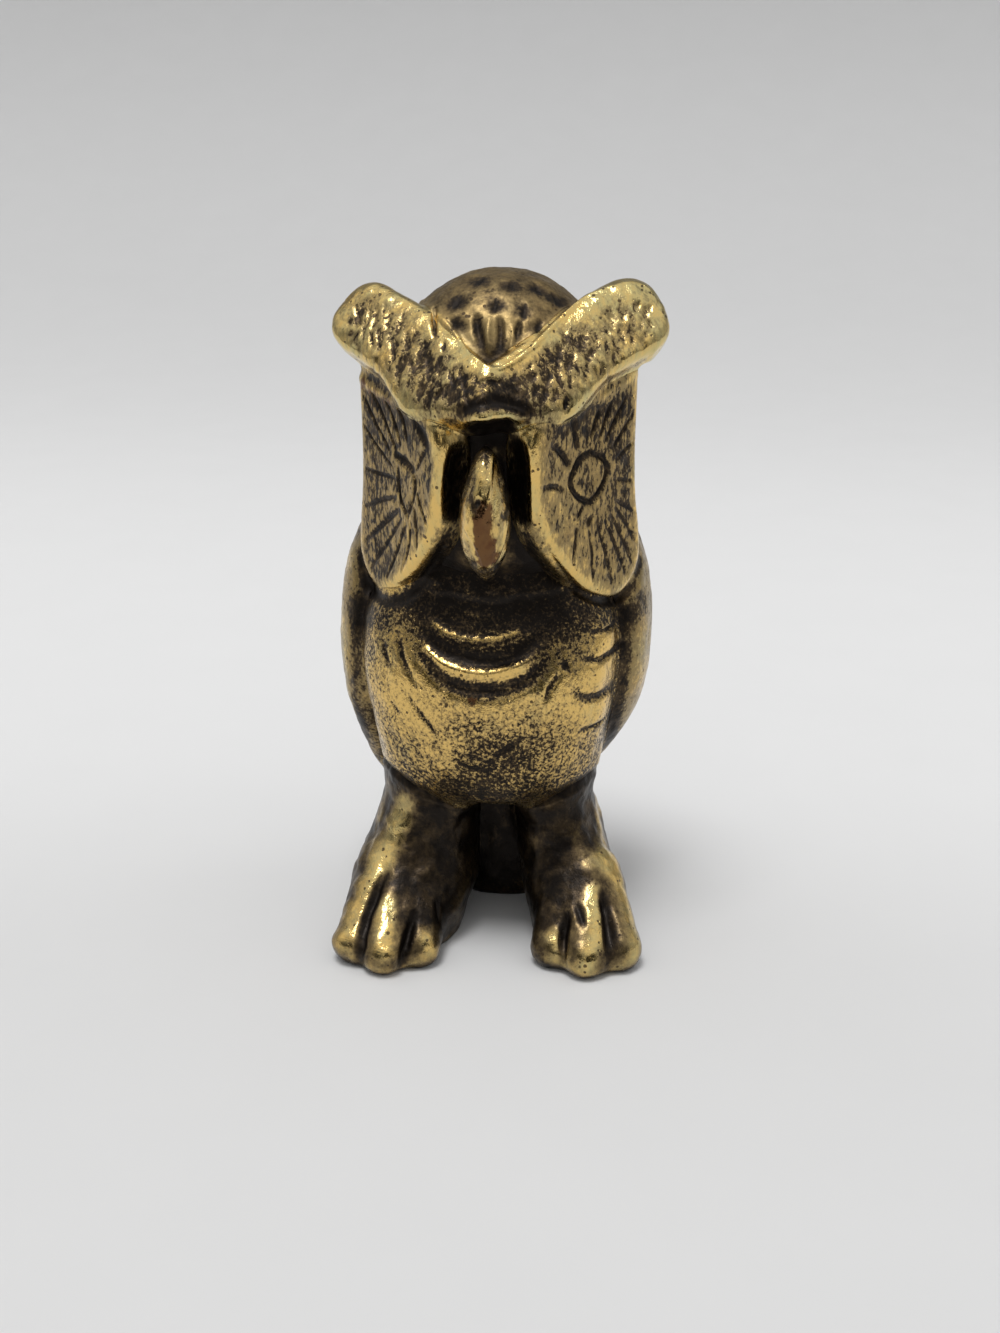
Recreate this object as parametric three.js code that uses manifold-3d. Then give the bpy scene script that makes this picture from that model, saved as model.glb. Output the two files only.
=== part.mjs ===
// A small brass owl that stands on two feet and the tip of its tail.
// It is built from the elements of its casting pattern: torso, head, two brow arms with ear
// tufts, two face discs, beak, two wings, two legs with toes, and tail.
// Millimetres, +Z up, the owl looks along -Y.
import * as THREE from "three";
import { mergeVertices } from "three/addons/utils/BufferGeometryUtils.js";
import Module from "manifold-3d";

const wasm = await Module();
wasm.setup();

// Heights, from the table up
const legHeight = 17; // table to the underside of the belly
const torsoHeight = 30; // underside of the belly to the neck
const headHeight = 30.7; // neck to the top of the crown

// Width
const halfWidth = 18.3; // axis to the outside of the ear tufts, wings and feet

// Torso
const bellyHalfWidth = 15.1;
const bellyFront = 14;
const bellyBack = 13;
const torsoPower = 2.3; // 2 is an oval, more is squarer
const torsoShift = 0.8; // the torso sits this much to the right of the axis

// Head
const headHalfWidth = 13.6;
const headFront = 11.6;
const headBack = 13.6;
const crownHeight = 15.9; // height of the domed part

// Face discs: upright plates that sweep back from the beak on both sides
const discSweep = 50; // degrees that each disc is turned back
const discWidth = 17.2;
const discDrop = 6.5; // how far the lobe hangs below the neck
const discRise = 16.8; // how far the disc's front edge reaches above the neck
const discSlope = 0.34; // rise of its top edge towards the ear
const discThickness = 4.6;
const discEdge = 0.9; // rounding of the rim
const discFront = 15; // how far the discs' front edges lie ahead of the axis
const nicheHalfWidth = 4.9; // half the gap between the discs, where the beak lies

// Eyes and the engraved rays round them
const eyeAlong = 8.2; // eye from the disc's front edge
const eyeRise = 8.9; // eye above the neck
const eyeHalfWidth = 2.4;
const eyeHalfHeight = 3.4;
const eyeGroove = 0.5; // radius of the ring groove
const rayCount = 18;
const rayLength = 4.6;
const rayWidth = 0.8;

// Brow: two arms that meet over the beak and end in the ear tufts
const browAbove = 2.7; // its line to the upper edge, at the middle of the face
const browBelow = 5; // its line to the lower edge, at the middle of the face
const browSag = 1.2; // how much lower the lower edge hangs beside the beak
const earAbove = 4.8;
const earBelow = 4.3;
const earRunOn = 1.3; // how far an ear runs on before its round end
const earRadius = 4.6; // of an ear's round end
const earLop = 0.6; // the left ear stands this much higher than the line, the right one lower
const browHalfThickness = 2.5;
const browPower = 3.6; // a flat band with rounded edges
const earInset = 5.3; // outside of an ear to the centre of its round end
const earSweep = 10.4; // how far an ear lies behind the middle of the brow
const earRise = 5.7; // how far an ear stands above the middle of the brow
const browRise = 18.7; // middle of the brow above the neck
const browFront = 12.6;
const hatchCount = 4; // cuts across each arm
const hatchWidth = 0.9;

// Beak
const beakHalfWidth = 2.6;
const beakHalfLength = 7.1;
const beakDepth = 4.3;
const beakDrop = 11.6; // middle of the beak below the middle of the brow
const beakFront = 15.2;
const nicheDepth = 5.6;

// Wings
const wingHalfThickness = 3.7;
const wingHalfWidth = 8.2;
const wingRise = 3.6; // shoulder above the neck
const wingDrop = 3.6; // the right wing's lower tip below the underside of the belly
const wingLift = 4.6; // how much higher the left wing ends
const wingFlare = 4.4; // how much farther out the right wing's lower tip stands
const featherCuts = 3;
const featherWidth = 1;

// Legs and feet
const footInset = 6.5; // outside of the owl to the middle of a foot
const footHalfWidth = 7.1;
const footHalfLength = 8.9;
const footFront = 14; // how far the foot reaches ahead of the axis, without its toes
const ankleHalfWidth = 5.8;
const ankleSpread = 8.7; // axis to the middle of an ankle
const leftTrim = 3.2; // how much less the left foot reaches outward
const footStagger = 1.6; // the right foot stands this much ahead of the left
const wingShift = 0.4; // both wings sit this much to the right of the axis
const toeRadius = 2.75;
const toeReach = 2.8; // how far the middle toe reaches ahead of the foot
const toeSpread = 3.6; // from toe to toe, at the tips
const toeRootRadius = 3.5;
const toeRootSpread = 1.6;
const toeRise = 7.6; // how high on the instep the toes begin

// Tail
const tailHalfWidth = 7;
const tailHalfThickness = 5.7;
const tailBack = 12.6; // how far the tail reaches behind the axis
const tailTop = 33; // where it runs out on the back
const tailCuts = 2;

// Feather marks
const scallopWidth = 1.5; // cuts on the breast
const dimpleRadius = 1.4; // marks on the crown
const dimpleDepth = 0.4;
const dimpleRows = 3;

// Joints between the elements
const seam = 0.3; // clearance between two neighbours
const sink = 4; // how far a shape runs on inside its neighbour before it is cut back

const neck = legHeight + torsoHeight;
const top = neck + headHeight;
const beakRise = browRise - beakDrop;
const earReach = halfWidth - earInset;
const footSpread = halfWidth - footInset;
const beyond = 2 * top; // farther out than any part of the owl
const rad = THREE.MathUtils.degToRad;
const X = new THREE.Vector3(1, 0, 0);
const Y = new THREE.Vector3(0, 1, 0);

// A smooth function through [t, value] stations.
function profile(stations) {
  const slope = stations.map((s, i) => {
    const a = stations[Math.max(i - 1, 0)];
    const b = stations[Math.min(i + 1, stations.length - 1)];
    return (b[1] - a[1]) / (b[0] - a[0]);
  });
  return (t) => {
    let i = 0;
    while (i < stations.length - 2 && t > stations[i + 1][0]) i += 1;
    const [t0, v0] = stations[i];
    const [t1, v1] = stations[i + 1];
    const h = t1 - t0;
    const u = THREE.MathUtils.clamp((t - t0) / h, 0, 1);
    const near = v0 * (2 * u ** 3 - 3 * u ** 2 + 1) + slope[i] * h * (u ** 3 - 2 * u ** 2 + u);
    const far = v1 * (3 * u ** 2 - 2 * u ** 3) + slope[i + 1] * h * (u ** 3 - u ** 2);
    return near + far;
  };
}

// A closed skin from rings: ringAt(v) gives { centre, across, along, half, power }, where the
// ring is an oval with those two axes. A point in the first and last centre closes each end.
function shell(ringAt, rings, sides) {
  const points = [];
  const index = [];
  for (let j = 0; j <= rings; j++) {
    const ring = ringAt(j / rings);
    for (let i = 0; i < sides; i++) {
      const c = Math.cos((2 * Math.PI * i) / sides);
      const s = Math.sin((2 * Math.PI * i) / sides);
      const a = Math.sign(c) * Math.abs(c) ** (2 / ring.power) * ring.half[0];
      const b = Math.sign(s) * Math.abs(s) ** (2 / ring.power) * ring.half[1];
      const point = ring.centre.clone().addScaledVector(ring.across, a);
      points.push(point.addScaledVector(ring.along, b));
    }
  }
  for (let j = 0; j < rings; j++)
    for (let i = 0; i < sides; i++) {
      const a = j * sides + i;
      const b = j * sides + ((i + 1) % sides);
      index.push(a, b, b + sides, a, b + sides, a + sides);
    }
  const last = rings * sides;
  points.push(ringAt(0).centre, ringAt(1).centre);
  for (let i = 0; i < sides; i++) {
    const next = (i + 1) % sides;
    index.push(points.length - 2, next, i);
    index.push(points.length - 1, last + i, last + next);
  }
  return new THREE.BufferGeometry().setFromPoints(points).setIndex(index);
}

// Makes a closed geometry into a solid that can be joined and cut.
function solid(geometry) {
  const bare = geometry.clone();
  bare.deleteAttribute("normal");
  bare.deleteAttribute("uv");
  const merged = mergeVertices(bare, 1e-4);
  const corners = merged.getAttribute("position");
  const triangles = [...merged.index.array];
  // turn the faces outwards where the skin was wound the other way
  const [a, b, c] = [new THREE.Vector3(), new THREE.Vector3(), new THREE.Vector3()];
  let volume = 0;
  for (let i = 0; i < triangles.length; i += 3) {
    a.fromBufferAttribute(corners, triangles[i]);
    b.fromBufferAttribute(corners, triangles[i + 1]);
    c.fromBufferAttribute(corners, triangles[i + 2]);
    volume += a.dot(b.cross(c));
  }
  if (volume < 0) triangles.reverse();
  return new wasm.Manifold(
    new wasm.Mesh({
      numProp: 3,
      vertProperties: new Float32Array(corners.array),
      triVerts: new Uint32Array(triangles),
    }),
  );
}

// An upright shape: at each height it is an oval with the given centre and half sizes, and it
// closes in a round end over the given heights.
function upright(form, grow = 0) {
  const low = form.from - grow;
  const high = form.to + grow;
  const cap = (gap, r) => (gap < r ? Math.sqrt(Math.max(1 - (1 - gap / r) ** 2, 0.002)) : 1);
  return shell(
    (v) => {
      const z = low + ((high - low) * (1 - Math.cos(Math.PI * v))) / 2;
      const shrink = cap(z - low, form.roundFrom) * cap(high - z, form.roundTo);
      const [cx, cy] = form.centre(z);
      const [a, b] = form.half(z);
      return {
        centre: new THREE.Vector3(cx, cy, z),
        across: X,
        along: Y,
        half: [(a + grow) * shrink, (b + grow) * shrink],
        power: form.power,
      };
    },
    form.rings,
    form.sides,
  );
}

// A tapered round cutter along a curve.
function graver(points, radius, steps, sides = 5) {
  const curve = new THREE.CatmullRomCurve3(points);
  const frames = curve.computeFrenetFrames(steps, false);
  return solid(
    shell(
      (v) => {
        const j = Math.round(v * steps);
        const r = radius * Math.max(Math.sqrt(Math.sin(Math.PI * (0.03 + 0.94 * v))), 0.2);
        return {
          centre: curve.getPointAt(v),
          across: frames.normals[j],
          along: frames.binormals[j],
          half: [r, r],
          power: 2,
        };
      },
      steps,
      sides,
    ),
  );
}

function block(x0, x1, y0, y1, z0, z1) {
  const box = new THREE.BoxGeometry(x1 - x0, y1 - y0, z1 - z0);
  box.translate((x0 + x1) / 2, (y0 + y1) / 2, (z0 + z1) / 2);
  return solid(box);
}

// Everything above the table.
const aboveTable = (made) => made.intersect(block(-beyond, beyond, -beyond, beyond, 0, beyond));

// Torso: an egg with its widest girth at two thirds of its height
const girth = profile([
  [-0.1, 0.57],
  [0.02, 0.75],
  [0.13, 0.84],
  [0.37, 0.947],
  [0.6, 1],
  [0.77, 0.96],
  [0.9, 0.854],
  [1.03, 0.762],
  [1.2, 0.66],
]);
const chest = profile([
  [-0.1, 0.6],
  [0.02, 0.76],
  [0.13, 0.885],
  [0.37, 1],
  [0.6, 0.957],
  [0.83, 0.75],
  [1.03, 0.643],
  [1.2, 0.58],
]);
const spine = profile([
  [-0.1, 0.6],
  [0.02, 0.74],
  [0.13, 0.86],
  [0.37, 0.97],
  [0.6, 1],
  [0.83, 0.97],
  [1.03, 0.9],
  [1.2, 0.8],
]);
const torsoShare = (z) => (z - legHeight) / torsoHeight;
const torsoCentre = (z) => [
  -torsoShift,
  (spine(torsoShare(z)) * bellyBack - chest(torsoShare(z)) * bellyFront) / 2,
];
const torsoHalf = (z) => [
  girth(torsoShare(z)) * bellyHalfWidth,
  (spine(torsoShare(z)) * bellyBack + chest(torsoShare(z)) * bellyFront) / 2,
];
const torsoForm = {
  from: legHeight,
  to: neck + sink,
  roundFrom: 4,
  roundTo: sink,
  centre: torsoCentre,
  half: torsoHalf,
  power: torsoPower,
  rings: 19,
  sides: 36,
};

// The point of the torso's skin at a height and a bearing; bearing 0 is straight ahead.
function onTorso(z, bearing) {
  const [cx, cy] = torsoCentre(z);
  const [a, b] = torsoHalf(z);
  const s = Math.sin(bearing);
  const c = Math.cos(bearing);
  const r = (Math.abs(s / a) ** torsoPower + Math.abs(c / b) ** torsoPower) ** (-1 / torsoPower);
  return new THREE.Vector3(cx + r * s, cy - r * c, z);
}

// A feather cut: an arc on the torso that hangs between two bearings and sags by drop.
function scallop(share, from, to, drop) {
  const arc = [];
  for (let i = 0; i <= 6; i++) {
    const z = legHeight + share * torsoHeight - drop * Math.sin((Math.PI * i) / 6);
    arc.push(onTorso(z, rad(from + ((to - from) * i) / 6)));
  }
  return graver(arc, scallopWidth / 2, 9);
}

function makeTorso() {
  const cuts = [
    scallop(0.8, -15, 15, 0.05 * torsoHeight),
    scallop(0.7, -24, 24, 0.09 * torsoHeight),
  ];
  for (const side of [-1, 1])
    for (const [share, from] of [
      [0.76, 34],
      [0.61, 38],
      [0.46, 42],
    ])
      cuts.push(scallop(share, side * from, side * (from + 26), 0.04 * torsoHeight));
  const whole = solid(upright(torsoForm));
  return wasm.Manifold.difference([whole, ...cuts]).intersect(
    block(-beyond, beyond, -beyond, beyond, 0, neck - seam / 2),
  );
}

// Head: a dome on a slightly narrower neck
const headWaist = profile([
  [-0.2, 0.88],
  [0, 0.93],
  [0.25, 0.985],
  [0.5, 1],
  [1, 1],
]);
const headCentre = (headBack - headFront) / 2;
const headForm = {
  from: neck - sink,
  to: top,
  roundFrom: 1,
  roundTo: crownHeight,
  centre: () => [0, headCentre],
  half: (z) => {
    const share = headWaist((z - neck) / headHeight);
    return [share * headHalfWidth, (share * (headFront + headBack)) / 2];
  },
  power: 2.05,
  rings: 16,
  sides: 34,
};

// Rows of shallow round feather marks on the crown.
function crownMarks() {
  const marks = [];
  const [a, b] = [headHalfWidth, (headFront + headBack) / 2];
  for (let row = 0; row < dimpleRows; row++) {
    const lift = rad(38 + (40 * row) / dimpleRows);
    const count = 7 - 2 * row;
    for (let i = 0; i < count; i++) {
      const bearing = rad(((i - (count - 1) / 2) * 30) / Math.max(0.6, Math.cos(lift)));
      const out = new THREE.Vector3(
        a * Math.cos(lift) * Math.sin(bearing),
        -b * Math.cos(lift) * Math.cos(bearing),
        crownHeight * Math.sin(lift),
      );
      const ball = new THREE.IcosahedronGeometry(dimpleRadius, 1);
      const away = out.clone().setLength(out.length() + dimpleRadius - dimpleDepth);
      ball.translate(away.x, away.y + headCentre, away.z + top - crownHeight);
      marks.push(solid(ball));
    }
  }
  return marks;
}

// Face disc, in its own frame: x along the disc from its front edge, y up from the neck, z out
// of its face. It has straight front and rear edges and a lobe that hangs towards the rear.
function discOutline(grow) {
  const near = -grow;
  const far = discWidth + grow;
  const low = -discDrop - grow;
  const high = discRise + grow;
  const bottom = 0.745 * discWidth;
  const shape = new THREE.Shape();
  shape.moveTo(near, high);
  shape.lineTo(near, 0.43 * discRise);
  shape.bezierCurveTo(near, 0.29 * discRise, 0.5 * bottom, low, bottom, low);
  shape.bezierCurveTo(0.93 * discWidth, low, far, 0.8 * low, far, 0.3 * low);
  shape.lineTo(far, high + discSlope * (far - near));
  shape.closePath();
  return shape;
}

// Moves a disc's frame to its place on the given side.
function toFace(geometry, side) {
  geometry.rotateX(Math.PI / 2);
  geometry.rotateZ(rad(discSweep));
  geometry.translate(nicheHalfWidth, -discFront, neck);
  if (side < 0) geometry.scale(-1, 1, 1);
  return solid(geometry);
}

function discSolid(side, grow = 0) {
  const plate = new THREE.ExtrudeGeometry(discOutline(grow - discEdge), {
    depth: discThickness - 2 * discEdge + 2 * grow,
    bevelEnabled: true,
    bevelThickness: discEdge,
    bevelSize: discEdge,
    bevelSegments: 3,
    curveSegments: 7,
  });
  plate.translate(0, 0, discEdge - discThickness - grow);
  return toFace(plate, side);
}

function discCuts(side) {
  const ring = new THREE.TorusGeometry(1, eyeGroove / eyeHalfWidth, 5, 20);
  ring.scale(eyeHalfWidth, eyeHalfHeight, eyeHalfWidth);
  ring.translate(eyeAlong, eyeRise, 0);
  const cuts = [toFace(ring, side)];
  for (let i = 0; i < rayCount; i++) {
    const angle = (2 * Math.PI * (i + 0.5)) / rayCount;
    const start = 1.5 * Math.hypot(eyeHalfWidth * Math.cos(angle), eyeHalfHeight * Math.sin(angle));
    const ray = new THREE.CylinderGeometry(rayWidth * 0.5, rayWidth * 0.2, rayLength, 4);
    ray.rotateZ(-Math.PI / 2);
    ray.translate(start + rayLength / 2, 0, 0);
    ray.rotateZ(angle);
    ray.translate(eyeAlong, eyeRise, 0);
    cuts.push(toFace(ray, side));
  }
  return cuts;
}

// Brow arm, from the middle of the face to the ear tuft
const browStart = new THREE.Vector3(0, -browFront, neck + browRise);
const earCentre = new THREE.Vector3(earReach, earSweep - browFront, neck + browRise + earRise);
const browAlong = earCentre.clone().sub(browStart).normalize();
const browFace = new THREE.Vector3(0.42, -0.62, 0.66);
browFace.addScaledVector(browAlong, -browFace.dot(browAlong)).normalize();
const browAcross = new THREE.Vector3().crossVectors(browFace, browAlong);

// How far an arm reaches above and below its line, at a share of its length
const browLower = profile([
  [0, 0],
  [0.23, 0.97],
  [0.45, 1],
  [0.62, 0.28],
  [0.85, 0],
  [1.05, 0],
]);
function browReach(share, side) {
  const t = THREE.MathUtils.clamp(share, 0, 1);
  const lop = side * earLop * THREE.MathUtils.clamp((share - 0.68) / 0.34, 0, 1);
  const above = browAbove + (earAbove - browAbove) * THREE.MathUtils.smoothstep(t, 0, 1) + lop;
  const below = browBelow + (earBelow - browBelow) * t + browSag * browLower(share);
  return [above, below];
}

function browSolid(side, grow = 0) {
  const length = earCentre.distanceTo(browStart);
  const straight = length + earRunOn + 0.4 * side * earLop;
  const reach = straight + earRadius + grow;
  const start = -browBelow;
  const arm = shell(
    (v) => {
      const s = start + (reach - start) * Math.sin((Math.PI / 2) * v);
      const [above, below] = browReach(s / length, side);
      const past = Math.max(s - straight, 0) / (earRadius + grow);
      const shrink = Math.max(1 - past ** 2.4, 0.003) ** (1 / 2.4);
      const centre = browStart.clone().addScaledVector(browAlong, s);
      return {
        centre: centre.addScaledVector(browAcross, ((above - below) / 2) * shrink),
        across: browAcross,
        along: browFace,
        half: [((above + below) / 2 + grow) * shrink, (browHalfThickness + grow) * shrink ** 0.8],
        power: browPower,
      };
    },
    16,
    24,
  );
  if (side < 0) arm.scale(-1, 1, 1);
  return solid(arm);
}

function browCuts(side) {
  const cuts = [];
  const length = earCentre.distanceTo(browStart);
  for (let i = 0; i < hatchCount; i++) {
    const s = length * (0.2 + (0.75 * i) / hatchCount);
    const middle = browStart.clone().addScaledVector(browAlong, s);
    middle.addScaledVector(browFace, browHalfThickness);
    const arc = [-0.55, 0, 0.45].map((t) => {
      const point = middle.clone().addScaledVector(browAcross, t * 2 * browAbove);
      point.addScaledVector(browAlong, 0.5 * t * browAbove);
      point.addScaledVector(browFace, -0.5 * t * t);
      if (side < 0) point.x = -point.x;
      return point;
    });
    cuts.push(graver(arc, hatchWidth / 2, 4));
  }
  return cuts;
}

// Beak, a long leaf in the niche between the discs, widest below its middle
const beakTaper = profile([
  [-1, 1],
  [-0.4, 1.14],
  [0.13, 1.02],
  [1, 0.72],
]);
const beakForm = {
  from: neck + beakRise - beakHalfLength,
  to: neck + beakRise + beakHalfLength,
  roundFrom: beakHalfLength,
  roundTo: beakHalfLength,
  centre: () => [0, -beakFront],
  half: (z) => [beakHalfWidth * beakTaper((z - neck - beakRise) / beakHalfLength), beakDepth],
  power: 1.8,
  rings: 12,
  sides: 16,
};

function nicheSolid() {
  const hollow = new THREE.SphereGeometry(1, 24, 16);
  hollow.scale(nicheHalfWidth - seam, nicheDepth, beakHalfLength * 1.58);
  hollow.translate(0, -discFront - 2.4, neck + beakRise - 1.2);
  return solid(hollow);
}

// Wing, a leaf that hugs the torso's side
const wingLow = legHeight - wingDrop;
const wingHigh = neck + wingRise;
const wingShare = (z) => (z - wingLow) / (wingHigh - wingLow);
const wingOut = profile([
  [0, 0.58],
  [0.18, 0.76],
  [0.33, 0.92],
  [0.52, 1],
  [0.66, 1],
  [0.81, 0.95],
  [1, 0.8],
]);
const wingBulk = profile([
  [0, 0.48],
  [0.16, 0.7],
  [0.33, 0.93],
  [0.52, 1],
  [0.66, 1],
  [0.86, 0.9],
  [1, 0.75],
]);
const wingBreadth = profile([
  [0, 0.45],
  [0.16, 0.71],
  [0.33, 0.93],
  [0.52, 1],
  [0.66, 0.96],
  [0.86, 0.78],
  [1, 0.59],
]);
const wingMiddle = profile([
  [0, 1.13],
  [0.18, 0.9],
  [0.38, 0.72],
  [0.58, 0.66],
  [0.77, 0.78],
  [1, 0.8],
]);
// The right wing stands out towards its tip
const wingStandOut = profile([
  [0, 1],
  [0.11, 0.93],
  [0.18, 0.7],
  [0.33, 0.3],
  [0.52, 0.14],
  [1, 0.14],
]);
const wingForm = (side) => ({
  from: wingLow + (side > 0 ? wingLift : 0),
  to: wingHigh,
  roundFrom: 2.5,
  roundTo: 3.5,
  centre: (z) => {
    const t = wingShare(z);
    const outside = halfWidth * wingOut(t) + (side > 0 ? 0 : wingFlare * wingStandOut(t));
    return [outside - wingHalfThickness * wingBulk(t), wingMiddle(t) * wingHalfWidth];
  },
  half: (z) => {
    const t = wingShare(z);
    return [wingHalfThickness * wingBulk(t), wingHalfWidth * wingBreadth(t)];
  },
  power: 2.2,
  rings: 15,
  sides: 22,
});

function wingSolid(side, grow = 0) {
  const leaf = upright(wingForm(side), grow);
  if (side < 0) leaf.scale(-1, 1, 1);
  leaf.translate(-wingShift, 0, 0);
  return solid(leaf);
}

function wingCuts(side) {
  const cuts = [];
  const form = wingForm(side);
  for (let i = 0; i < featherCuts; i++) {
    const turn = rad(22 + (i * 46) / featherCuts);
    const line = [];
    for (let j = 0; j <= 5; j++) {
      const z = form.from + (form.to - form.from) * (0.14 + 0.13 * j);
      const [cx, cy] = form.centre(z);
      const [a, b] = form.half(z);
      const x = cx + a * Math.cos(turn) ** (2 / 2.2);
      line.push(new THREE.Vector3(side * x - wingShift, cy + b * Math.sin(turn) ** (2 / 2.2), z));
    }
    cuts.push(graver(line, featherWidth / 2, 9));
  }
  return cuts;
}

// Leg: a pillar that widens into the foot, with three toes
const legShare = (z) => z / legHeight;
const legSpread = profile([
  [-0.2, 1],
  [0.1, 0.87],
  [0.35, 0.52],
  [0.68, 0.06],
  [1, -0.32],
  [1.4, -0.65],
]);
const legWidth = profile([
  [-0.2, 0.62],
  [0.1, 0.85],
  [0.35, 1],
  [0.68, 0.54],
  [1, 0],
  [1.4, 0.31],
]);
const legDepth = profile([
  [-0.2, 1],
  [0.2, 1],
  [0.5, 0.88],
  [0.8, 0.83],
  [1, 0.84],
  [1.4, 0.88],
]);
const legMiddle = profile([
  [-0.2, 1],
  [0.2, 0.95],
  [0.5, 0.62],
  [0.8, 0.4],
  [1.1, 0.22],
  [1.4, 0.15],
]);
const legTrim = profile([
  [-0.2, 0.69],
  [0.15, 0.88],
  [0.3, 1],
  [0.47, 0.88],
  [1, 0.66],
  [1.4, 0.5],
]);
const footMiddle = footHalfLength - footFront;
const legForm = (side) => ({
  from: -3,
  to: legHeight + 5,
  roundFrom: 1,
  roundTo: 3,
  centre: (z) => {
    const t = legShare(z);
    const trim = side > 0 ? (leftTrim * legTrim(t)) / 2 : 0;
    const x = ankleSpread + (footSpread - ankleSpread) * legSpread(t);
    return [x - trim, footMiddle * legMiddle(t)];
  },
  half: (z) => {
    const t = legShare(z);
    const trim = side > 0 ? (leftTrim * legTrim(t)) / 2 : 0;
    const a = ankleHalfWidth + (footHalfWidth - ankleHalfWidth) * legWidth(t);
    return [a - trim, footHalfLength * legDepth(t)];
  },
  power: 2.2,
  rings: 14,
  sides: 22,
});

function toe(side, offset, reach) {
  const inward = side > 0 ? (leftTrim * (offset + 1)) / 4 : 0;
  const rootX = footSpread + offset * toeRootSpread - inward;
  const tip = new THREE.Vector3(footSpread + offset * toeSpread, -footFront - reach, toeRadius * 0.8);
  const root = new THREE.Vector3(rootX, footMiddle - toeRootRadius * 0.75, toeRise);
  const along = tip.clone().sub(root);
  const length = along.length();
  along.normalize();
  const up = new THREE.Vector3().crossVectors(X, along).normalize();
  const across = new THREE.Vector3().crossVectors(along, up);
  return shell(
    (v) => {
      const run = (length + toeRadius + toeRootRadius) * (1 - Math.cos(Math.PI * v)) * 0.5;
      const s = run - toeRootRadius;
      const past = s > length ? (s - length) / toeRadius : Math.min(s, 0) / toeRootRadius;
      const share = THREE.MathUtils.clamp(s / length, 0, 1);
      const r = toeRootRadius + (toeRadius - toeRootRadius) * share;
      const shrink = Math.sqrt(Math.max(1 - past ** 2, 0.004));
      return {
        centre: root.clone().addScaledVector(along, s),
        across,
        along: up,
        half: [r * shrink, r * shrink],
        power: 2,
      };
    },
    10,
    14,
  );
}

function legSolid(side, grow = 0) {
  const parts = [upright(legForm(side), grow)];
  if (grow === 0)
    for (const [offset, share] of [
      [-1, 0.35],
      [0, 1],
      [1, 0.3],
    ])
      parts.push(toe(side, offset, toeReach * share));
  const stagger = (side * footStagger) / 2;
  const placed = parts.map((part) => {
    if (side < 0) part.scale(-1, 1, 1);
    part.translate(0, stagger, 0);
    return solid(part);
  });
  return aboveTable(wasm.Manifold.union(placed));
}

// Tail: a flat tapered post behind the legs that also reaches the table
const tailForm = {
  from: -6,
  to: tailTop,
  roundFrom: 14,
  roundTo: 14,
  centre: () => [0, tailBack - tailHalfThickness],
  half: () => [tailHalfWidth, tailHalfThickness],
  power: 2.4,
  rings: 14,
  sides: 24,
};

function tailCutters() {
  const cuts = [];
  for (let i = 0; i < tailCuts; i++) {
    const x = tailHalfWidth * ((2 * (i + 1)) / (tailCuts + 1) - 1);
    const line = [0.08, 0.3, 0.5, 0.66].map((t) => {
      const z = tailTop * t;
      const bulge = (1 - Math.abs(x / tailHalfWidth) ** 2.4) ** (1 / 2.4);
      return new THREE.Vector3(x, tailBack - tailHalfThickness * (1 - bulge), z);
    });
    cuts.push(graver(line, featherWidth / 2, 7));
  }
  return cuts;
}

const brass = { color: 0xb5974e, roughness: 0.34, metalness: 1 };
const darkBrass = { color: 0x7c6236, roughness: 0.45, metalness: 1 };
const copperBrass = { color: 0xb98352, roughness: 0.32, metalness: 1 };

// Keeps the largest body of a cut solid and makes it a named mesh.
function piece(name, made, look) {
  const bodies = made.decompose();
  bodies.sort((a, b) => b.volume() - a.volume());
  const mesh = bodies[0].simplify(0.02).getMesh();
  const geometry = new THREE.BufferGeometry();
  geometry.setAttribute("position", new THREE.BufferAttribute(mesh.vertProperties.slice(), 3));
  geometry.setIndex(new THREE.BufferAttribute(mesh.triVerts.slice(), 1));
  geometry.computeVertexNormals();
  const body = new THREE.Mesh(geometry, new THREE.MeshStandardMaterial(look));
  body.name = name;
  return body;
}

const cutBy = (made, tools) => wasm.Manifold.difference([made, ...tools]);

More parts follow.
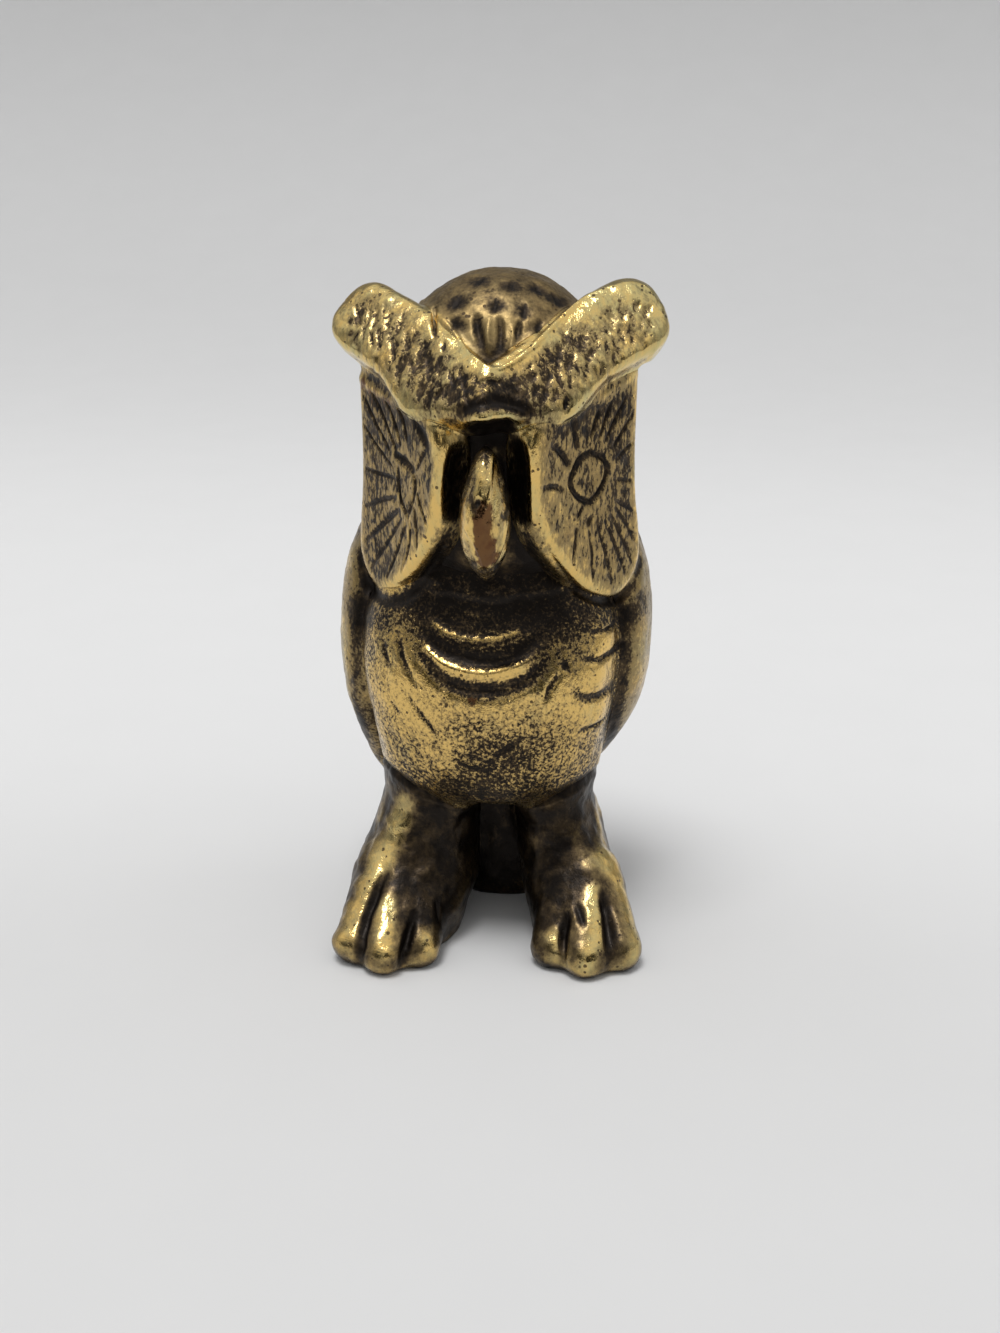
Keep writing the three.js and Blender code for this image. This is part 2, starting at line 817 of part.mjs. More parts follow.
function build() {
  const owl = new THREE.Group();
  owl.name = "brass_owl";
  const headGroup = new THREE.Group();
  const bodyGroup = new THREE.Group();
  const standGroup = new THREE.Group();
  owl.add(headGroup, bodyGroup, standGroup);
  const sides = [
    ["right", -1],
    ["left", 1],
  ];

  // each shape once more, grown by the seam, to cut its neighbours back with
  const niche = nicheSolid();
  const discs = sides.map(([, side]) => discSolid(side, seam));
  const brows = sides.map(([, side]) => browSolid(side, seam));
  const wings = sides.map(([, side]) => wingSolid(side, seam));
  const beak = solid(upright(beakForm, seam));
  const torso = solid(upright(torsoForm, seam));
  const tail = solid(upright(tailForm, seam));

  bodyGroup.add(piece("torso", cutBy(makeTorso(), [...discs, ...wings]), brass));
  const aboveNeck = block(-beyond, beyond, -beyond, beyond, neck + seam / 2, beyond);
  const skull = solid(upright(headForm)).intersect(aboveNeck);
  const cuts = [...crownMarks(), niche, ...discs, ...brows, ...wings, beak];
  headGroup.add(piece("head", cutBy(skull, cuts), brass));
  headGroup.add(piece("beak", cutBy(solid(upright(beakForm)), brows), copperBrass));
  for (const [name, side] of sides) {
    const half = side > 0 ? [seam / 2, beyond] : [-beyond, -seam / 2];
    const own = block(...half, -beyond, beyond, 0, beyond);
    const arm = cutBy(browSolid(side), [niche, ...browCuts(side)]).intersect(own);
    headGroup.add(piece(`${name}_brow`, arm, brass));
    const face = cutBy(discSolid(side), [niche, ...brows, beak, ...discCuts(side)]);
    headGroup.add(piece(`${name}_face_disc`, face.intersect(own), brass));
    const wing = cutBy(wingSolid(side), [...discs, ...wingCuts(side)]);
    bodyGroup.add(piece(`${name}_wing`, wing, darkBrass));
    const leg = cutBy(legSolid(side), [torso, ...wings, tail]);
    standGroup.add(piece(`${name}_leg`, leg.intersect(own), darkBrass));
  }
  const post = cutBy(aboveTable(solid(upright(tailForm))), [torso, ...tailCutters()]);
  standGroup.add(piece("tail", post, darkBrass));

  // the origin is the middle of the footprint's box, on the table
  const middle = new THREE.Box3().setFromObject(owl).getCenter(new THREE.Vector3());
  owl.position.set(-middle.x, -middle.y, 0);
  return owl;
}

export default build();
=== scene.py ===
import bpy
import math
from functools import partial, partialmethod
import numpy as np
from mathutils import Matrix, Vector


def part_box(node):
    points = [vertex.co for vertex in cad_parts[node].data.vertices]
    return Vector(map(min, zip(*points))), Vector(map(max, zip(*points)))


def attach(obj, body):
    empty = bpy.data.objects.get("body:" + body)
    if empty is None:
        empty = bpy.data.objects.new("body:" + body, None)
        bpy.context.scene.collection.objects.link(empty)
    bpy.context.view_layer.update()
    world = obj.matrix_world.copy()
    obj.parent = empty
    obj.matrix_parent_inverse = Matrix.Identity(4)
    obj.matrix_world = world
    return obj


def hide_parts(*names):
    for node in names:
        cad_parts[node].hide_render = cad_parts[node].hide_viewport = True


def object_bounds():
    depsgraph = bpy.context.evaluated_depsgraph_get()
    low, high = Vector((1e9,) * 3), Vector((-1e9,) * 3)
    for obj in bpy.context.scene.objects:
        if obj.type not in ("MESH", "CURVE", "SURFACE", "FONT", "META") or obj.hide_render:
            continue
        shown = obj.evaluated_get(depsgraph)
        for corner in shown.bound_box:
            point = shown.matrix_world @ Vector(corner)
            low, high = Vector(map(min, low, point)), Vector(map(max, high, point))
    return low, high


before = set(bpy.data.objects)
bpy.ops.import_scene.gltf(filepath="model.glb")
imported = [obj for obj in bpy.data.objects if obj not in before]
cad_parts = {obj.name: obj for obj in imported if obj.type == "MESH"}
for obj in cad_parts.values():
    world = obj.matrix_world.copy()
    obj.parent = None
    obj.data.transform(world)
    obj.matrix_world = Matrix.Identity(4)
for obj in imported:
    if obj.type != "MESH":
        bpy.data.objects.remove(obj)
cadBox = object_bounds()

# Shapes are worked out in millimetres round the owl's own upright axis. It looks along -y, its left
# side is +x and the table is z = 0. The tail is centred on that axis, so it gives the axis' place.
tailBox = [1000 * np.array(corner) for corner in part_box("tail")]
tailBack = 12.6  # how far the tail's back lies behind the axis
owlAxis = np.array([(tailBox[0][0] + tailBox[1][0]) / 2, tailBox[1][1] - tailBack, 0])
topHeight = 1000 * cadBox[1].z
meshStep = 0.25  # mm between grid points
rng = np.random.default_rng(7)


def toFrame(points):
    return (points + owlAxis) / 1000


# Camera, as the photograph was taken: turned 6 degrees to the owl's left and 20 degrees up
photo = dict(size=(1000, 1333), focal=1500, turn=6, lift=20, distance=178, aim=(0.2, -1.5, 32))


def cameraAxes():
    a, e = math.radians(photo["turn"]), math.radians(photo["lift"])
    back = np.array([math.sin(a) * math.cos(e), -math.cos(a) * math.cos(e), math.sin(e)])
    right = np.array([math.cos(a), math.sin(a), 0])
    return np.array(photo["aim"]) + back * photo["distance"], right, np.cross(back, right), -back


def makeCamera():
    place, right, up, ahead = cameraAxes()
    data = bpy.data.cameras.new("photoCamera")
    data.sensor_width = 36
    data.lens = photo["focal"] * 36 / photo["size"][1]
    data.clip_start = 0.005
    camera = bpy.data.objects.new("photoCamera", data)
    turn = Matrix([list(row) for row in np.array([right, up, -ahead]).T])
    camera.matrix_world = Matrix.Translation(Vector(toFrame(place))) @ turn.to_4x4()
    bpy.context.scene.collection.objects.link(camera)
    bpy.context.scene.camera = camera


# Smooth curve through (t, value) stations: cubic Hermite with central slopes
def along(t, stations):
    ts, vs = np.array(stations, float).T
    slope = np.gradient(vs, ts)
    t = np.clip(t, ts[0], ts[-1])
    i = np.clip(np.searchsorted(ts, t, side="right") - 1, 0, len(ts) - 2)
    h = ts[i + 1] - ts[i]
    u = (t - ts[i]) / h
    near = vs[i] * (2 * u**3 - 3 * u**2 + 1) + slope[i] * h * (u**3 - 2 * u**2 + u)
    return near + vs[i + 1] * (3 * u**2 - 2 * u**3) + slope[i + 1] * h * (u**3 - u**2)


# Smaller of two gaps, rounded over k where they are nearly equal: min - k/4 (1 - |a - b| / k)^2
def smoothMin(a, b, k):
    return np.minimum(a, b) - np.clip(k - np.abs(a - b), 0, None) ** 2 / (4 * k)


def smoothMax(a, b, k):
    return -smoothMin(-a, -b, k)


# Gap to an oval |x/a|^n + |y/b|^n = 1, measured along the ray from its centre
def ovalGap(x, y, a, b, power):
    size = ((np.abs(x) / a) ** power + (np.abs(y) / b) ** power) ** (1 / power) + 1e-6
    return (size - 1) / size * (np.hypot(x, y) + 1e-6)


def ballGap(x, y, z, half, power=2.0):
    parts = [(np.abs(c) / r) ** power for c, r in zip((x, y, z), half)]
    size = sum(parts) ** (1 / power) + 1e-6
    return (size - 1) / size * (np.sqrt(x * x + y * y + z * z) + 1e-6)


# Torso: its half width, and how far breast and back lie from the axis, by height
torso = dict(
    power=2.3, low=17.2, high=53, rounding=3.4, shift=-0.8,
    half=[
        (14, 8.6), (17.6, 11.3), (20.9, 12.7), (28, 14.3), (35, 15.1), (40, 14.5), (44, 12.9), (48, 11.5),
        (53, 10),
    ],
    chest=[(14, 8.4), (17.6, 10.6), (20.9, 12.4), (28, 14), (35, 13.4), (42, 10.5), (48, 9), (53, 8.1)],
    spine=[(14, 7.8), (17.6, 9.6), (20.9, 11.2), (28, 12.6), (35, 13), (42, 12.6), (48, 11.7), (53, 10.4)],
)


def torsoOval(z):
    chest, spine = along(z, torso["chest"]), along(z, torso["spine"])
    return torso["shift"], (spine - chest) / 2, along(z, torso["half"]), (spine + chest) / 2


def torsoGap(x, y, z):
    cx, cy, a, b = torsoOval(z)
    gap = ovalGap(x - cx, y - cy, a, b, torso["power"])
    gap = smoothMax(gap, torso["low"] - z, torso["rounding"])
    return smoothMax(gap, z - torso["high"], torso["rounding"])


# Head: an oval column up to the dome, which is crown mm high
head = dict(
    centre=1.0, half=13.6, depth=12.6, crown=15.9, power=2.05, low=43.5,
    waist=[(41, 0.88), (47, 0.93), (54.5, 0.985), (62, 1), (80, 1)],
)


def headOval(z):
    share = along(z, head["waist"])
    return 0, head["centre"], head["half"] * share, head["depth"] * share


def headGap(x, y, z):
    _, cy, a, b = headOval(z)
    up = np.maximum(z - (topHeight - head["crown"]), 0)
    gap = ballGap(x, y - cy, up, (a, b, head["crown"]), head["power"])
    return smoothMax(gap, head["low"] - z, 2)


# Disc frame: a along the disc from its front edge, b up from the table, h out of its face
disc = dict(
    sweep=50, front=15, niche=4.9, thick=4.6, edge=1.6, corner=3.6, width=17, eye=(8.2, 55.9),
    grid=(390, 68, 20, 21),  # points round the eye; rows over the face, round the rim and behind
    flare=[(38, 1.5), (46, 1.5), (50, 0.8), (54, 0.2), (58, 0), (66, 0)],  # added width, by b
)
discSides = [  # outline as straight sides (a, b, outward a, outward b), rounded into each other
    (0, 58, -1, 0), (17.2, 50, 1, 0), (12, 41, 0, -1), (5, 45.5, -0.82, -0.572), (8, 42.7, -0.5, -0.866),
    (0, 63.8, -0.32, 0.947), (17.2, 43.7, 0.86, -0.5), (16, 41.2, 0.7, -0.71),
]


def discPlace(x, y, side):
    turn = math.radians(disc["sweep"])
    px, py = side * x - disc["niche"], y + disc["front"]
    a = px * math.cos(turn) + py * math.sin(turn)
    return a, px * math.sin(turn) - py * math.cos(turn)


def discOutline(a, b):
    a = a - np.clip(a, 0, None) / disc["width"] * along(b, disc["flare"])
    gap = None
    for pa, pb, na, nb in discSides:
        flat = (a - pa) * na + (b - pb) * nb
        gap = flat if gap is None else smoothMax(gap, flat, disc["corner"])
    return gap


def discGap(x, y, z, side):
    a, h = discPlace(x, y, side)
    slab = np.abs(h + disc["thick"] / 2) - disc["thick"] / 2  # from the face at h = 0 back to -thick
    return smoothMax(discOutline(a, z), slab, disc["edge"])


# Brow arm: s along it from the middle to the ear, w across its face, n out of its face
brow = dict(
    start=(0, -12.6, 65.7), ear=(13.0, -2.2, 71.4), face=(0.42, -0.62, 0.66),
    thick=2.5, power=4.0, plan=2.6,
    ends=(-4.3, 18.95),  # where the arm starts to round off, by s
    above=[(-5, 2.6), (0, 2.7), (4, 3.0), (8, 3.6), (13, 4.5), (17.6, 4.8), (24, 4.8)],
    below=[(-5, 3.0), (0, 3.9), (3, 5.4), (6, 6.2), (9, 5.7), (12, 4.7), (15, 4.4), (18.5, 4.3), (24, 4.2)],
    lop={1: 0.1, -1: -0.6},  # how much each ear stands above the line, by side
)
browStart, earPlace = np.array(brow["start"], float), np.array(brow["ear"], float)
browLength = np.linalg.norm(earPlace - browStart)
browAlong = (earPlace - browStart) / browLength
browFace = np.array(brow["face"]) - np.dot(brow["face"], browAlong) * browAlong
browFace = browFace / np.linalg.norm(browFace)
browAcross = np.cross(browFace, browAlong)


def browPlace(x, y, z, side):
    q = np.stack([side * x, y, z], -1) - browStart
    return q @ browAlong, q @ browAcross, q @ browFace


def browWidths(s, side):
    lop = brow["lop"][side] * np.clip((s - 12) / 6, 0, 1)
    return along(s, brow["above"]) + lop, along(s, brow["below"])


# How far a place lies beyond the arm's ends
def browPast(s, side):
    return np.maximum(s - brow["ends"][1] - 0.4 * brow["lop"][side], 0) + np.maximum(brow["ends"][0] - s, 0)


# Share of the way from the arm's line to its outline: (past^p + |w|^p)^(1/p) / half width
def browPlan(s, w, side):
    above, below = browWidths(s, side)
    wide = below + (above - below) * np.clip(w / 4 + 0.5, 0, 1)
    power = brow["plan"]
    return (browPast(s, side) ** power + np.abs(w) ** power) ** (1 / power) / wide


def browGap(x, y, z, side):
    s, w, n = browPlace(x, y, z, side)
    past = browPast(s, side)
    size = browPlan(s, w, side) ** brow["power"] + (np.abs(n) / brow["thick"]) ** brow["power"]
    size = size ** (1 / brow["power"]) + 1e-6
    gap = (size - 1) / size * (np.sqrt(past**2 + w**2 + n**2) + 1e-6)
    return smoothMax(gap, -side * x - 0.6, 1.2)


# Beak: an almond, and the niche that it stands in
beak = dict(
    centre=(0.15, -15.2, 54.1), half=(2.6, 4.3, 7.1), power=1.8,
    slim=[(-8, 1.0), (-3, 1.14), (1, 1.02), (8, 0.72)],
)
niche = dict(
    y=-17.4, z=52.9, half=(4.75, 5.8, 11.3), power=3.0, rim=0.85,
    x=[(45, 0.2), (57, 0.1), (61, 0.4), (66, 1.2)],  # it leans a little, by z
)


def beakGap(x, y, z):
    cx, cy, cz = beak["centre"]
    slim = along(z - cz, beak["slim"])
    return ballGap((x - cx) / slim, y - cy, z - cz, beak["half"], beak["power"])


def nicheGap(x, y, z):
    cx = along(z, niche["x"])
    return ballGap(x - cx, y - niche["y"], z - niche["z"], niche["half"], niche["power"])


# Wing: at each height an oval with centre (x, y) and half sizes
# (the right one stands out a little farther, mostly near its lower end)
wing = dict(
    shift=-0.4, power=2.2, low=13.4, high=50.6, lift=4.6,
    out=[(13, 4.4), (17.6, 4.3), (20.3, 3.6), (25.7, 2.0), (32.8, 1.2), (50.6, 1.2)],
    x=[(15, 9.5), (20.3, 11.3), (25.7, 13.4), (32.8, 14.6), (38.1, 14.6), (43.5, 14.0), (50.6, 11.9)],
    y=[(15, 8.9), (20.3, 7.4), (27.5, 5.9), (35, 5.4), (42, 6.4), (50.6, 6.6)],
    thick=[(15, 1.85), (19.3, 2.6), (25.7, 3.45), (32.8, 3.7), (38.1, 3.7), (45.3, 3.3), (50.6, 2.8)],
    breadth=[(15, 3.9), (19.3, 5.8), (25.7, 7.6), (32.8, 8.2), (38.1, 7.9), (45.3, 6.4), (50.6, 4.8)],
)


def wingOval(z, side):
    x = side * along(z, wing["x"]) + wing["shift"]
    x = x if side > 0 else x - along(z, wing["out"])
    return x, along(z, wing["y"]), along(z, wing["thick"]), along(z, wing["breadth"])


def wingGap(x, y, z, side):
    lower = wing["low"] + (wing["lift"] if side > 0 else 0)
    cx, cy, a, b = wingOval(z, side)
    gap = ovalGap(x - cx, y - cy, a, b, wing["power"])
    gap = smoothMax(gap, lower - z, 2.4)
    return smoothMax(gap, z - wing["high"], 3.4)


# Leg: at each height an oval, then three toes as round cones from root to tip
leg = dict(
    power=2.2, stagger=0.8, top=22,
    x=[(-3, 11.6), (1.7, 11.2), (6, 10.1), (11.6, 8.7), (17, 7.5), (24, 6.5)],
    y=[(-3, -5.1), (3.4, -4.9), (8.5, -3.2), (13.6, -2.2), (18.7, -1.9), (24, -1.8)],
    half=[(-3, 6.4), (1.7, 6.7), (6, 6.9), (11.6, 6.3), (17, 5.6), (24, 6)],
    trim=[(-3, 0.9), (2.5, 1.2), (5, 1.4), (8, 1.2), (17, 0.85), (24, 0.6)],
    depth=[(-3, 8.9), (3.4, 8.9), (8.5, 7.8), (13.6, 7.1), (17, 6.7), (24, 6.4)],
    heel=[(-3, 0.2), (2, 0.45), (7, 0.45), (12, 0), (24, 0)],  # added inside the right foot
    roots=[(9.6, -7.6, 7.4), (11.6, -8.0, 8.0), (13.2, -7.4, 7.4)],
    tips=[(7.9, -15.0, 2.2), (11.6, -16.8, 2.3), (15.3, -14.8, 2.2)],
    radius=(3.5, 2.75), slimmer=1.3,  # slimmer: how much the left foot loses at its outside
)


def coneGap(x, y, z, root, tip, r0, r1):
    root, tip = np.array(root, float), np.array(tip, float)
    axis = tip - root
    px, py, pz = x - root[0], y - root[1], z - root[2]
    t = np.clip((px * axis[0] + py * axis[1] + pz * axis[2]) / axis.dot(axis), 0, 1)
    away = np.sqrt((px - t * axis[0]) ** 2 + (py - t * axis[1]) ** 2 + (pz - t * axis[2]) ** 2)
    return away - (r0 + (r1 - r0) * t)


def legOval(z, side):
    trim = along(z, leg["trim"]) if side > 0 else -0.2
    heel = 0 if side > 0 else along(z, leg["heel"])
    x, half = along(z, leg["x"]) - trim - heel, along(z, leg["half"]) - trim + heel
    return x, along(z, leg["y"]), half, along(z, leg["depth"])


def legGap(x, y, z, side):
    px, py = side * x, y - side * leg["stagger"]
    cx, cy, a, b = legOval(z, side)
    gap = smoothMax(ovalGap(px - cx, py - cy, a, b, leg["power"]), z - leg["top"], 3)
    toes = None
    for (rx, ry, rz), tip in zip(leg["roots"], leg["tips"]):
        inward = leg["slimmer"] * (rx - leg["roots"][0][0]) / 3.6 if side > 0 else 0
        toe = coneGap(px, py, z, (rx - inward, ry, rz), tip, *leg["radius"])
        toes = toe if toes is None else smoothMin(toes, toe, 1.8)
    return smoothMax(smoothMin(gap, toes, 2.0), -z, 0.5)


# Tail: an upright post, domed over its uppermost cap mm
tail = dict(half=7.0, thick=5.7, power=2.4, top=33, cap=14)


def tailOval(z):
    return 0, tailBack - tail["thick"], tail["half"], tail["thick"]


def tailGap(x, y, z):
    _, cy, a, b = tailOval(z)
    over = np.maximum(z - (tail["top"] - tail["cap"]), 0) / tail["cap"]
    shrink = np.sqrt(np.clip(1 - over**2, 0.01, 1))
    gap = ovalGap(x, y - cy, a * shrink, b * shrink, tail["power"])
    return smoothMax(gap, -z, 0.5)


shapes = dict(torso=torsoGap, head=headGap, beak=beakGap, tail=tailGap)
for kind, gapOf in dict(face_disc=discGap, brow=browGap, wing=wingGap, leg=legGap).items():
    shapes["left_" + kind] = partial(gapOf, side=1)
    shapes["right_" + kind] = partial(gapOf, side=-1)
discs, brows, wings, legs = [
    ["left_" + kind, "right_" + kind] for kind in ("face_disc", "brow", "wing", "leg")]
# how softly each shape flows into those before it, in the order in which they are joined
flow = dict(
    torso=1.5, head=1.2, left_face_disc=0.5, right_face_disc=0.5, left_brow=0.7, right_brow=0.7,
    beak=0.5, left_wing=1.0, right_wing=1.0, left_leg=3.0, right_leg=3.0, tail=2.4,
)
hollowed = ("torso", "head", *discs, *brows)


# Gaps to the named shapes at these points, with the niche taken out of those round it
def gapsAt(points, names):
    x, y, z = points.T
    hollow = None
    gaps = {}
    for name in names:
        gaps[name] = shapes[name](x, y, z)
        if name in hollowed:
            hollow = -nicheGap(x, y, z) if hollow is None else hollow
            gaps[name] = smoothMax(gaps[name], hollow, 0.6)
    return gaps


# The cast skin: all shapes flowing into each other
def skinGap(gaps):
    skin = None
    for name, k in flow.items():
        if name in gaps:
            skin = gaps[name] if skin is None else smoothMin(skin, gaps[name], k)
    return skin


# One piece of the skin: the skin where this shape is the nearest, diving under it beyond
def pieceGap(points, own, names):
    gaps = gapsAt(points, names)
    others = np.min([gaps[name] for name in names if name != own], axis=0)
    return skinGap(gaps) + 0.9 * np.maximum(gaps[own] - others, 0)


# Walks in along each ray from far to near and gives the distance at which it enters the solid
def enterFromOutside(gap, start, heading, far, near, walks=26, halvings=5):
    outside, inside = far.copy(), near.copy()
    found = np.zeros(len(far), bool)
    last = far.copy()
    for step in range(1, walks + 1):
        t = far + (near - far) * step / walks
        todo = ~found
        value = gap(start[todo] + heading[todo] * t[todo, None])
        hit = np.zeros(len(far), bool)
        hit[np.flatnonzero(todo)[value < 0]] = True
        outside[hit], inside[hit] = last[hit], t[hit]
        found |= hit
        last = t
    todo = np.flatnonzero(found)
    for _ in range(halvings):
        middle = (outside[todo] + inside[todo]) / 2
        low = gap(start[todo] + heading[todo] * middle[:, None]) < 0
        inside[todo[low]] = middle[low]
        outside[todo[~low]] = middle[~low]
    return np.where(found, (outside + inside) / 2, near)


# Grid of a piece: rings of an oval (half sizes a, b along across and side) round a centre line.
# Rays leave a thin skeleton inside the piece, so that they meet its skin squarely.
def ringRays(centres, across, side, a, b, count, inner=0.85):
    turn = np.linspace(0, 2 * np.pi, count, endpoint=False)[None, :, None]
    a, b = a[:, None, None], b[:, None, None]
    ring = centres[:, None] + across * a * np.cos(turn) + side * b * np.sin(turn)
    spareA, spareB = inner * np.maximum(a - b, 0), inner * np.maximum(b - a, 0)
    return ring, centres[:, None] + across * spareA * np.cos(turn) + side * spareB * np.sin(turn)


# Steps from low to high by (1 - cos) / 2, closer at the ends, and the rings' size there by sin^0.6
def capped(low, high, rows):
    v = np.linspace(0, 1, rows)
    cap = np.sin(np.pi * np.clip(v, 0.004, 0.996)) ** 0.6
    return low + (high - low) * (1 - np.cos(np.pi * v)) / 2, cap


# Upright piece: rings from the lowest to the highest point, round the oval that ovalAt gives for
# each height; around and tall are the lengths that the grid has to cover, in mm
def uprightRays(low, high, ovalAt, around, tall, step=meshStep):
    z, cap = capped(low, high, int(tall / step))
    x, y, a, b, z = (1.0 * values for values in np.broadcast_arrays(*ovalAt(z), z))
    centres = np.stack([x, y, z], -1)
    ring, core = ringRays(centres, np.eye(3)[0], np.eye(3)[1], a * cap, b * cap, int(around / step))
    inset = min(a.min(), b.min(), (high - low) / 3)
    core[..., 2] = np.clip(core[..., 2], low + inset, high - inset)
    return ring, core


# Turns a grid of rays into the piece's skin
def castSkin(own, names, ring, core, reach=2.6, depth=0.7):
    shape = ring.shape
    heading = (ring - core).reshape(-1, 3)
    size = np.linalg.norm(heading, axis=1)
    heading = heading / size[:, None]
    start = core.reshape(-1, 3)
    gap = partial(pieceGap, own=own, names=names)
    t = enterFromOutside(gap, start, heading, size + reach, size * (1 - depth))
    return (start + heading * t[:, None]).reshape(shape)


def beakRays():
    cx, cy, cz = beak["centre"]
    a, b, c = beak["half"]
    return uprightRays(cz - c, cz + c, lambda z: (cx, cy, a, b), 24, 22, 0.18)


# The rays of a leg start farther forward and reach farther near the table, where the toes are
legRayForm = dict(
    y=[(-1, -7.4), (4, -7.0), (9, -4.0), (14, -2.0), (22, -1.0)],
    depth=[(-1, 12.6), (4, 11.8), (9, 8.8), (14, 7.6), (22, 7.6)],
    half=[(-1, 6.8), (4, 6.6), (22, 5.8)],
)


def legRays(side):
    def ovalAt(z):
        y, half, depth = (along(z, legRayForm[word]) for word in ("y", "half", "depth"))
        return side * legOval(z, side)[0], y + side * leg["stagger"], half, depth

    return uprightRays(-0.4, 21.5, ovalAt, 62, 42)


def browRays(side):
    low, high, step = brow["ends"][0], brow["ends"][1] + 5.3, 0.2
    s, cap = capped(low, high, int(36 / step))
    above, below = browWidths(s, side)
    mirror = np.array([side, 1, 1])
    centres = browStart + s[:, None] * browAlong + ((above - below) / 2)[:, None] * browAcross
    inner = np.clip(s, low + brow["thick"], high - brow["thick"])
    half = (above + below) / 2
    ring, core = ringRays(
        centres, browAcross, browFace, half * cap, brow["thick"] * cap, int(28 / step))
    core = core + ((inner - s)[:, None] * browAlong)[:, None]
    return ring * mirror, core * mirror


# Disc: rings round the eye, out over the face, round the rim and back in behind
def discRays(side):
    count, face, rim, behind = disc["grid"]
    turn = np.linspace(0, 2 * np.pi, count, endpoint=False)
    eye = np.tile(disc["eye"], (count, 1))
    heading = np.stack([np.cos(turn), np.sin(turn)], -1)
    far, near = np.full(count, 30.0), np.zeros(count)
    edge = enterFromOutside(lambda p: discOutline(*p.T), eye, heading, far, near, 30, 20)
    share = np.concatenate([np.linspace(0, 1, face), np.ones(rim), np.linspace(1, 0, behind)])
    thick = disc["thick"]
    down = np.linspace(0, -thick, rim + 2)[1:-1]
    height = np.concatenate([np.zeros(face), down, np.full(behind, -thick)])
    inset = 1 - 0.5 * thick / edge
    sweep = math.radians(disc["sweep"])
    out = np.array([side * math.cos(sweep), math.sin(sweep), 0])
    face = np.array([side * math.sin(sweep), -math.cos(sweep), 0])
    corner = np.array([side * disc["niche"], -disc["front"], 0])

    def place(radius, h):
        a, b = np.moveaxis(eye + radius[..., None] * heading, -1, 0)
        return corner + a[..., None] * out + b[..., None] * np.array([0, 0, 1]) + h * face

    ring = place(share[:, None] * edge, height[:, None, None])
    return ring, place(np.minimum(share[:, None], inset) * edge, -thick / 2)


# Which shapes a piece flows into, and its rays
pieces = dict(
    torso=dict(
        rays=partial(uprightRays, 16, 51, torsoOval, 88, 50),
        beside=["head", *discs, *wings, *legs, "tail"]),
    head=dict(
        rays=partial(uprightRays, 44, topHeight, headOval, 84, 58),
        beside=["torso", *discs, *brows, "beak", *wings]),
    beak=dict(rays=beakRays, beside=["head", "torso", *brows, *discs]),
    tail=dict(rays=partial(uprightRays, -0.4, 31, tailOval, 34, 42), beside=["torso", *legs]),
)
for side, own, other in ((1, "left_", "right_"), (-1, "right_", "left_")):
    wingAt = partial(wingOval, side=side)
    pieces[own + "face_disc"] = dict(
        rays=partial(discRays, side), beside=["torso", "head", own + "brow", "beak", own + "wing"])
    pieces[own + "brow"] = dict(
        rays=partial(browRays, side), beside=["head", own + "face_disc", other + "brow", "beak"])
    pieces[own + "wing"] = dict(
        rays=partial(uprightRays, wing["low"], wing["high"], wingAt, 44, 46),
        beside=["torso", "head", own + "face_disc", own + "leg"])
    pieces[own + "leg"] = dict(
        rays=partial(legRays, side), beside=["torso", other + "leg", own + "wing", "tail"],
        reach=5, depth=0.6)


# A mesh with smooth shading from a closed grid of points in mm, with its layers of values
def addMesh(name, grid, layers):
    rows, count = grid.shape[:2]
    points = np.concatenate([grid.reshape(-1, 3), grid[:1].mean(1), grid[-1:].mean(1)])
    i = np.arange(rows - 1)[:, None] * count
    j = np.arange(count)[None, :]
    k = (j + 1) % count
    quads = np.stack([i + j, i + k, i + count + k, i + count + j], -1).reshape(-1, 4)
    # both ends are closed by a fan round their middle point
    first, end = np.full(count, rows * count), (rows - 1) * count
    fans = [first, k[0], j[0]], [first + 1, end + j[0], end + k[0]]
    fans = np.concatenate([np.stack(fan, -1) for fan in fans])
    mesh = bpy.data.meshes.new(name)
    mesh.from_pydata(toFrame(points).tolist(), [], quads.tolist() + fans.tolist())
    for layer, values in layers.items():
        values = np.concatenate([values.ravel(), values[:1].mean(1), values[-1:].mean(1)])
        mesh.attributes.new(layer, "FLOAT", "POINT").data.foreach_set("value", values.astype(np.float32))
    mesh.shade_smooth()
    mesh.validate()
    piece = bpy.data.objects.new(name, mesh)
    bpy.context.scene.collection.objects.link(piece)
    return piece


# Marks cut into the wax, placed by their pixels in the photograph. A row gives a mark's width and
# depth in mm (a negative depth is a raised lip), how dark its hollow has become (under the disc lobes
# this darkness is painted shadow), and then the pixels x, y of its course.
def pairs(numbers):
    return list(zip(numbers[::2], numbers[1::2]))


def cutRows(*rows):
    return [dict(wide=row[0], deep=row[1], dark=row[2], course=pairs(row[3:])) for row in rows]


browCuts = cutRows(
    (0.55, 0.55, 1, 435, 309, 434, 320, 435, 337),
    (0.8, 0.6, 1, 567, 398, 567, 411),
    (0.5, 0.25, 0.2, 467, 394, 468, 412),
    (1.4, 0.35, 0.7, 460, 413, 474, 407, 495, 402, 516, 405, 530, 412),
    (0.6, 0.3, 0.5, 499, 404, 512, 408, 520, 414),
    (0.7, 0.3, 0.4, 477, 384, 488, 381, 500, 383),
    (1, 0.45, 0.8, 477, 318, 478, 330, 482, 345),
    (0.8, 0.4, 0.7, 500, 318, 501, 332, 500, 348),
    (0.7, 0.3, 0.6, 520, 322, 517, 338),
    (0.7, -0.35, 0, 489, 320, 488, 335, 490, 352),
    (0.6, -0.3, 0, 512, 326, 513, 338, 510, 350),
    (0.6, -0.3, 0, 434, 311, 452, 330, 470, 355, 490, 370),
    (0.55, -0.3, 0, 611, 286, 583, 299, 555, 324, 530, 350, 505, 367, 490, 370),
    (0.8, -0.15, 0, 396, 284, 416, 297, 434, 311),
    (1.4, -0.2, 0, 346, 350, 365, 382, 397, 405, 430, 430),
    (1.4, -0.2, 0, 659, 345, 640, 369, 600, 398, 555, 424),
)
